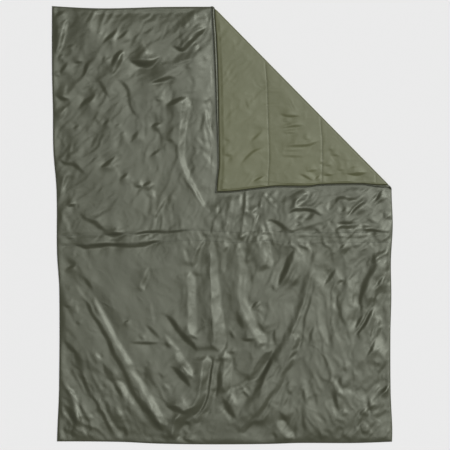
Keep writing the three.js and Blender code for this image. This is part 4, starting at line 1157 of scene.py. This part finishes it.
def lining_wrinkles(x, y):
    """Fine wrinkles on the turned corner: slanting near its tip, and level from row to row beyond."""
    bent_x, bent_y = wandering(x, y, WRINKLE_WAVER, cell=0.05, seed=71)
    u, v = (bent_x + bent_y) * math.sqrt(0.5), (bent_y - bent_x) * math.sqrt(0.5)
    slanting = ridges(u, v, cell=(0.14, 0.024), seed=73, rounding=FOLD_ROUNDING)
    level = ridges(bent_x, bent_y, cell=(0.13, 0.020), seed=74, rounding=FOLD_ROUNDING)
    beyond = ramp(x, *WRINKLES_LEVEL)
    amount = patchy(x, y, WRINKLE_VARIES, cell=(0.10, 0.08), seed=75)
    return WRINKLE_HEIGHT * amount * (slanting * (1 - beyond) + level * beyond)


def lining_drop(net):
    """How far the lining's face lies from the quilt's middle."""
    xy = net.at[:, :2]
    x, y = xy.T
    from_row = np.min([np.abs(net.from_head - place) for place in row_places], axis=0)
    trough = ROW_TROUGH * (1 - ramp(from_row, 0, ROW_HALF))
    crown = CHANNEL_CROWN * ramp(from_row, 0, CHANNEL_PITCH / 2)
    along_roll, from_roll = xy @ roll_line, (roll_head - xy) @ roll_out

    waves = WAVES_HIGH * soft_noise(x, y, cell=(0.09, 0.05), seed=51)
    waves += CRUMPLES_HIGH * crumples(x, y, cell=0.045, seed=52)
    gathers = GATHERS_HIGH * soft_noise(x, y, cell=(0.06, 0.012), seed=55) * beside(from_row, GATHERS_REACH)
    puckers = ROLL_PUCKERS_HIGH * soft_noise(along_roll, from_roll, cell=(0.011, 0.04), seed=58)
    soft = waves + gathers + puckers * beside(from_roll, ROLL_PUCKERS_REACH) + lining_wrinkles(x, y)
    soft += CREASE_FACTOR * crease_heights(lining_creases, xy)
    raised = ramp(from_roll, 0, FLAP_FREE) * (crown + soft) - RAISED_TROUGH * trough
    on_roll = ROLL_CRUMPLES_HIGH * crumples(x, y, cell=0.02, seed=57)
    return LINING_DEPTH + np.select([net.part == FLAT, net.part == ROLL], [-trough, on_roll], raised)


# %% Build the lining cloth
def row_breaks(places):
    return [edge for place in places for edge in (place - ROW_HALF, place, place + ROW_HALF)]


lining_steps = len(LINING_INSETS) - 1
block_rows = [d for d in row_places if d < block_side - 2 * ROW_HALF]
flat_rows = [flat_foot + block_side - d for d in reversed(row_places) if d > block_side]
lining_far = [block_side - inset for inset in reversed(LINING_INSETS)]
lining_corner = stepped([*LINING_INSETS, *row_breaks(block_rows), *lining_far], LINING_PITCH)
last_row = block_rows[-1] + ROW_HALF
past_rows = np.clip(lining_corner - last_row, 0, None) / (block_side - LINING_INSETS[0] - last_row)
on_flap = np.minimum(lining_corner, last_row) + past_rows * (flap_foot_length - LINING_INSETS[0] - last_row)
lining_net = Net(
    left=stepped([*LINING_INSETS, flat_left], UNDERSIDE_PITCH)[:-1] / flat_left,
    low=stepped([*LINING_INSETS, *row_breaks(flat_rows), flat_foot], UNDERSIDE_PITCH)[:-1] / flat_foot,
    corner=lining_corner / block_side,
    turned=on_flap / flap_foot_length,
)
lining_face = lining_drop(lining_net)
for inset in range(lining_steps, -1, -1):
    ring = np.array([number for _, number in lining_net.ring(inset)])
    lining_face[ring] = np.minimum(lining_face[ring], LINING_EDGE[inset])

lining_skin = Skin(lining_net)
outer = lining_skin.layer(-lining_face)
inner = lining_skin.layer(np.full(len(lining_net.at), -PARTING / 2))
lining_skin.add(lining_net.cells(), outer, turned_in=True)
lining_skin.wall(lining_net.ring(0), outer, inner)
columns, rows = sparse(lining_net, BAND_STEPS)
lining_skin.band(lining_net.ring(0), lining_net.ring(BAND_STEPS, columns, rows), inner)
lining_skin.add(lining_net.cells(columns, rows), inner)
lining_cloth = lining_skin.mesh("lining_cloth")

# %% [markdown]
# ## Finishes
# The shell is a satin nylon, smooth enough to throw back the light in long streaks. The lining is a
# duller, lighter nylon. The thread is near-black and dull, partly its own colour and partly painted shade
# of the holes that the stitches sink into. A plain colour would look like plastic. So each colour drifts a
# little over its piece, and on the cloths a crinkle that is too fine for the mesh breaks up the gloss, with
# a still finer weave on it.

# %% Helpers for node trees and materials
def add_node(tree, kind, inputs=None, **settings):
    """A node with these settings. Each of its inputs is a value, or an output that is linked to it."""
    node = tree.nodes.new(kind)
    for name, value in settings.items():
        setattr(node, name, value)
    for name, value in (inputs or {}).items():
        if isinstance(value, bpy.types.NodeSocket):
            tree.links.new(value, node.inputs[name])
        else:
            node.inputs[name].default_value = value
    return node


def new_material(name, values):
    """A material, its node tree and its shader, whose inputs have these values."""
    material = bpy.data.materials.new(name)
    material.use_nodes = True
    shader = material.node_tree.nodes["Principled BSDF"]
    for label, value in values.items():
        shader.inputs[label].default_value = value
    return material, material.node_tree, shader


def drifting_colour(tree, shader, shades, scale, detail, stops):
    """Lets the shader's colour drift between two shades over the piece."""
    place = add_node(tree, "ShaderNodeTexCoord").outputs["Object"]
    patches = add_node(tree, "ShaderNodeTexNoise", {"Vector": place, "Scale": scale, "Detail": detail})
    tint = add_node(tree, "ShaderNodeValToRGB", {"Fac": patches.outputs["Fac"]})
    for element, stop, shade in zip(tint.color_ramp.elements, stops, shades):
        element.position = stop
        element.color = (*shade, 1)
    tree.links.new(tint.outputs["Color"], shader.inputs["Base Color"])


# %% Thread and cloths
# near-black tones: partly the thread's own colour, partly painted shade of the holes the stitches sink into
THREAD_AND_HOLE_SHADE_TONES = [(0.013, 0.014, 0.009), (0.028, 0.029, 0.019)]
SPECULAR_TINT = (0.95, 1.0, 0.86, 1)
CRINKLE = {"Scale": 18.0, "Detail": 4.5, "Roughness": 0.75, "Distortion": 0.8}
CRINKLE_BUMP = {"Strength": 0.5, "Distance": 1.7 * MM}
WEAVE_BUMP = {"Strength": 0.15, "Distance": 0.1 * MM}


def cloth_material(name, base, wear, roughness, gloss, weave):
    """A woven nylon of this base colour, which varies by the share called wear."""
    values = {"Roughness": roughness, "Specular IOR Level": gloss, "Specular Tint": SPECULAR_TINT}
    material, tree, shader = new_material(name, values)
    shades = [[c * (1 - wear) for c in base], [c * (1 + wear) for c in base]]
    drifting_colour(tree, shader, shades, scale=3.0, detail=4.0, stops=(0.35, 0.65))

    place = add_node(tree, "ShaderNodeTexCoord").outputs["UV"]
    crinkle = add_node(tree, "ShaderNodeTexNoise", {"Vector": place, **CRINKLE},
                       noise_type="RIDGED_MULTIFRACTAL").outputs["Fac"]
    crinkled = add_node(tree, "ShaderNodeBump", {"Height": crinkle, **CRINKLE_BUMP}).outputs["Normal"]
    warp, weft = (add_node(tree, "ShaderNodeTexWave", {"Vector": place, "Scale": weave},
                           bands_direction=way).outputs["Fac"] for way in "XY")
    woven = add_node(tree, "ShaderNodeMath", {0: warp, 1: weft}, operation="ADD").outputs[0]
    bumps = add_node(tree, "ShaderNodeBump", {"Height": woven, "Normal": crinkled, **WEAVE_BUMP})
    tree.links.new(bumps.outputs["Normal"], shader.inputs["Normal"])
    return material


# the thread's finish, which also paints the shade of the stitch holes
thread_and_hole_shade_finish, thread_and_hole_shade_tree, thread_and_hole_shade_shader = new_material("dark_thread_and_painted_hole_shade", {"Roughness": 0.8})
drifting_colour(thread_and_hole_shade_tree, thread_and_hole_shade_shader, THREAD_AND_HOLE_SHADE_TONES, scale=60.0, detail=2.0, stops=(0, 1))
shell_cloth.data.materials.append(cloth_material(
    "satin_nylon", base=(0.046, 0.048, 0.030), wear=0.05, roughness=0.40, gloss=0.58, weave=500))
lining_cloth.data.materials.append(cloth_material(
    "matte_nylon", base=(0.094, 0.097, 0.048), wear=0.04, roughness=0.46, gloss=0.5, weave=400))
print("a thread finish and two cloth finishes")

# %% [markdown]
# ## Stitches
# Two rows of stitches hold the gathers of the shell, rows of stitches make the lining's channels, and one
# row holds the hem. Each could be drawn as a dark line. Real stitches are short threads with gaps, so here
# a geometry node tree lays a small rod at every step of a path, and the paths are laid on the cloth. The
# rods are near-black, which is partly the thread's colour and partly painted shade of the stitch holes.
# Only the rows that show get threads.

# %% Lay the paths of the stitches on the cloths
STITCH_SIZES = {"Step": 5.5 * MM, "Length": 3.6 * MM, "Radius": 0.6 * MM}
PATH_STEP = 8 * MM
HEM_STITCH = 8.5 * MM       # from the hem's edge, where the hem has its full width
SEAM_ENDS = (0.04, 0.02)    # the seam's rows end so far from the blanket's left and right side
SEEN_ROWS = 2               # quilting rows that lie on the turned corner
FROM_ROLL = 0.04            # the hem's row starts here, as a share of the turned corner's edge
ROW_FROM_ROLL = 0.02


def resting_on(cloth, xy):
    """The highest points of a cloth at these places."""
    corners = [v.co for v in cloth.data.vertices]
    tree = BVHTree.FromPolygons(corners, [tuple(face.vertices) for face in cloth.data.polygons])
    hits = [tree.ray_cast(Vector((x, y, 1)), Vector((0, 0, -1)))[0] for x, y in xy]
    return [hit + Vector((0, 0, STITCH_SIZES["Radius"] / 2)) for hit in hits if hit]


def evenly(start, end, length):
    return np.linspace(start, end, max(2, round(abs(end - start) * length / PATH_STEP)))


def seam_path(side):
    x = evenly(SEAM_ENDS[0] - WIDTH / 2, WIDTH / 2 - SEAM_ENDS[1], 1)
    return np.stack([x, SEAM_MIDDLE + side * SEAM_SPREAD / 2 + along(SEAM_DRIFT, x / MM) * MM], 1)


def channel_path(place):
    g = 1 - place / flap_foot_length
    f = evenly(1 - g + ROW_FROM_ROLL, 1 - 2 * HEM_STITCH / flap_left_length, flap_left_length)
    return flap_point(f, np.full(len(f), g))


f_hem, g_hem = 1 - HEM_STITCH / flap_left_length, 1 - HEM_STITCH / flap_foot_length
hem_left = evenly(FROM_ROLL, f_hem, flap_left_length)
hem_foot = evenly(FROM_ROLL, g_hem, flap_foot_length)
hem_paths = [
    flap_point(hem_left, np.full(len(hem_left), g_hem)),
    flap_point(np.full(len(hem_foot), f_hem), hem_foot),
]
paths_on_shell = [resting_on(shell_cloth, path) for path in (seam_path(-1), seam_path(1), *hem_paths)]
paths_on_lining = [resting_on(lining_cloth, channel_path(place)) for place in row_places[:SEEN_ROWS]]
print("paths of", [len(path) for path in paths_on_shell + paths_on_lining], "points")

# %% A node tree that lays a stitch at every step of a path
stitching = bpy.data.node_groups.new("stitching", "GeometryNodeTree")
sockets = {}
for label in ("Geometry", *STITCH_SIZES, "Thread"):
    kind = {"Geometry": "Geometry", "Thread": "Material"}.get(label, "Float")
    socket = stitching.interface.new_socket(label, in_out="INPUT", socket_type="NodeSocket" + kind)
    sockets[label] = socket.identifier
stitching.interface.new_socket("Geometry", in_out="OUTPUT", socket_type="NodeSocketGeometry")

given = add_node(stitching, "NodeGroupInput").outputs
curve = add_node(stitching, "GeometryNodeMeshToCurve", {"Mesh": given["Geometry"]}).outputs["Curve"]
steps = add_node(stitching, "GeometryNodeCurveToPoints", {"Curve": curve, "Length": given["Step"]},
                 mode="LENGTH").outputs
rod = add_node(stitching, "GeometryNodeMeshCylinder",
               {"Vertices": 6, "Radius": given["Radius"], "Depth": given["Length"]}).outputs["Mesh"]
turn = add_node(stitching, "FunctionNodeAlignRotationToVector", {"Vector": steps["Tangent"]},
                axis="Z").outputs["Rotation"]
lay = add_node(stitching, "GeometryNodeInstanceOnPoints",
               {"Points": steps["Points"], "Instance": rod, "Rotation": turn}).outputs["Instances"]
real = add_node(stitching, "GeometryNodeRealizeInstances", {"Geometry": lay}).outputs["Geometry"]
paint = add_node(stitching, "GeometryNodeSetMaterial", {"Geometry": real, "Material": given["Thread"]})
add_node(stitching, "NodeGroupOutput", {"Geometry": paint.outputs["Geometry"]})
print("stitching tree with", len(stitching.nodes), "nodes")


# %% Sew the rows
def sew(name, paths):
    """One piece with all the stitches along the paths."""
    points, edges = [], []
    for path in paths:
        edges += [(len(points) + k, len(points) + k + 1) for k in range(len(path) - 1)]
        points += path
    data = bpy.data.meshes.new(name)
    data.from_pydata(points, edges, [])
    piece = bpy.data.objects.new(name, data)
    bpy.context.scene.collection.objects.link(piece)
    modifier = piece.modifiers.new("stitching", "NODES")
    modifier.node_group = stitching
    for label, value in {**STITCH_SIZES, "Thread": thread_and_hole_shade_finish}.items():
        modifier[sockets[label]] = value
    sewn = piece.evaluated_get(bpy.context.evaluated_depsgraph_get())
    piece_mesh = bpy.data.meshes.new_from_object(sewn)
    piece.modifiers.clear()
    piece.data = piece_mesh
    print(name, "has", len(piece_mesh.polygons), "faces")
    return piece


shell_stitches = sew("shell_stitches", paths_on_shell)
lining_stitches = sew("lining_stitches", paths_on_lining)

# %% [markdown]
# ## Floor and light
# The floor is plain and pale, and lies a hair under the blanket, so that the two don't share a face. One
# lamp would do, but its streaks would be hard. Here a broad softbox hangs overhead and shows the folds, a
# narrower one like a window stands to the right, a little towards the blanket's head, and makes the streaks
# on the satin, and a pale sky fills in the shadows.

# %% Floor, softboxes and sky
FLOOR_SIZE = 16
FLOOR_GAP = 0.2 * MM
FLOOR_GREY = (0.80, 0.80, 0.80, 1)
CEILING_SPREAD = math.radians(38)  # how wide the ceiling's softbox looks from the blanket
CEILING_TILT = math.radians(5)
CEILING_ENERGY = 1.08
WINDOW_TILT = math.radians(32)     # how far the window stands off the vertical
WINDOW_SPREAD = math.radians(16)
WINDOW_ENERGY = 2.0
SKY_STRENGTH = 0.15

bpy.ops.mesh.primitive_plane_add(size=FLOOR_SIZE, location=(0, 0, -FLOOR_GAP))
floor = bpy.context.object
floor.name = "floor"
floor_finish, _, _ = new_material("floor_paint", {"Base Color": FLOOR_GREY, "Roughness": 0.9})
floor.data.materials.append(floor_finish)


def softbox(name, energy, spread, tilt, heading):
    light = bpy.data.lights.new(name, "SUN")
    light.energy = energy
    light.angle = spread
    lamp = bpy.data.objects.new(name, light)
    lamp.rotation_euler = (0, tilt, heading)
    lamp.location = (0, 0, 2)  # a sun shines the same from anywhere
    bpy.context.scene.collection.objects.link(lamp)


window_way = math.atan2(WINDOW[1], WINDOW[0])
softbox("ceiling", CEILING_ENERGY, CEILING_SPREAD, CEILING_TILT, window_way)
softbox("window", WINDOW_ENERGY, WINDOW_SPREAD, WINDOW_TILT, window_way)

sky = bpy.data.worlds.new("sky")
sky.use_nodes = True
sky.node_tree.nodes["Background"].inputs["Color"].default_value = (1, 1, 1, 1)
sky.node_tree.nodes["Background"].inputs["Strength"].default_value = SKY_STRENGTH
bpy.context.scene.world = sky
bpy.context.scene.view_settings.view_transform = "Standard"
print("lit from above and from the right")

# %% [markdown]
# ## The pieces on the blanket's body
# Each cloth and each row of stitches rides on the blanket's one body. Each cloth stands for its solid,
# which is hidden.

# %% Attach the pieces and hide the solids
for cloth, node in ((shell_cloth, "shell"), (lining_cloth, "lining")):
    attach(cloth, "root")
    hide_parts(node)
for stitches in (shell_stitches, lining_stitches):
    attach(stitches, "root")
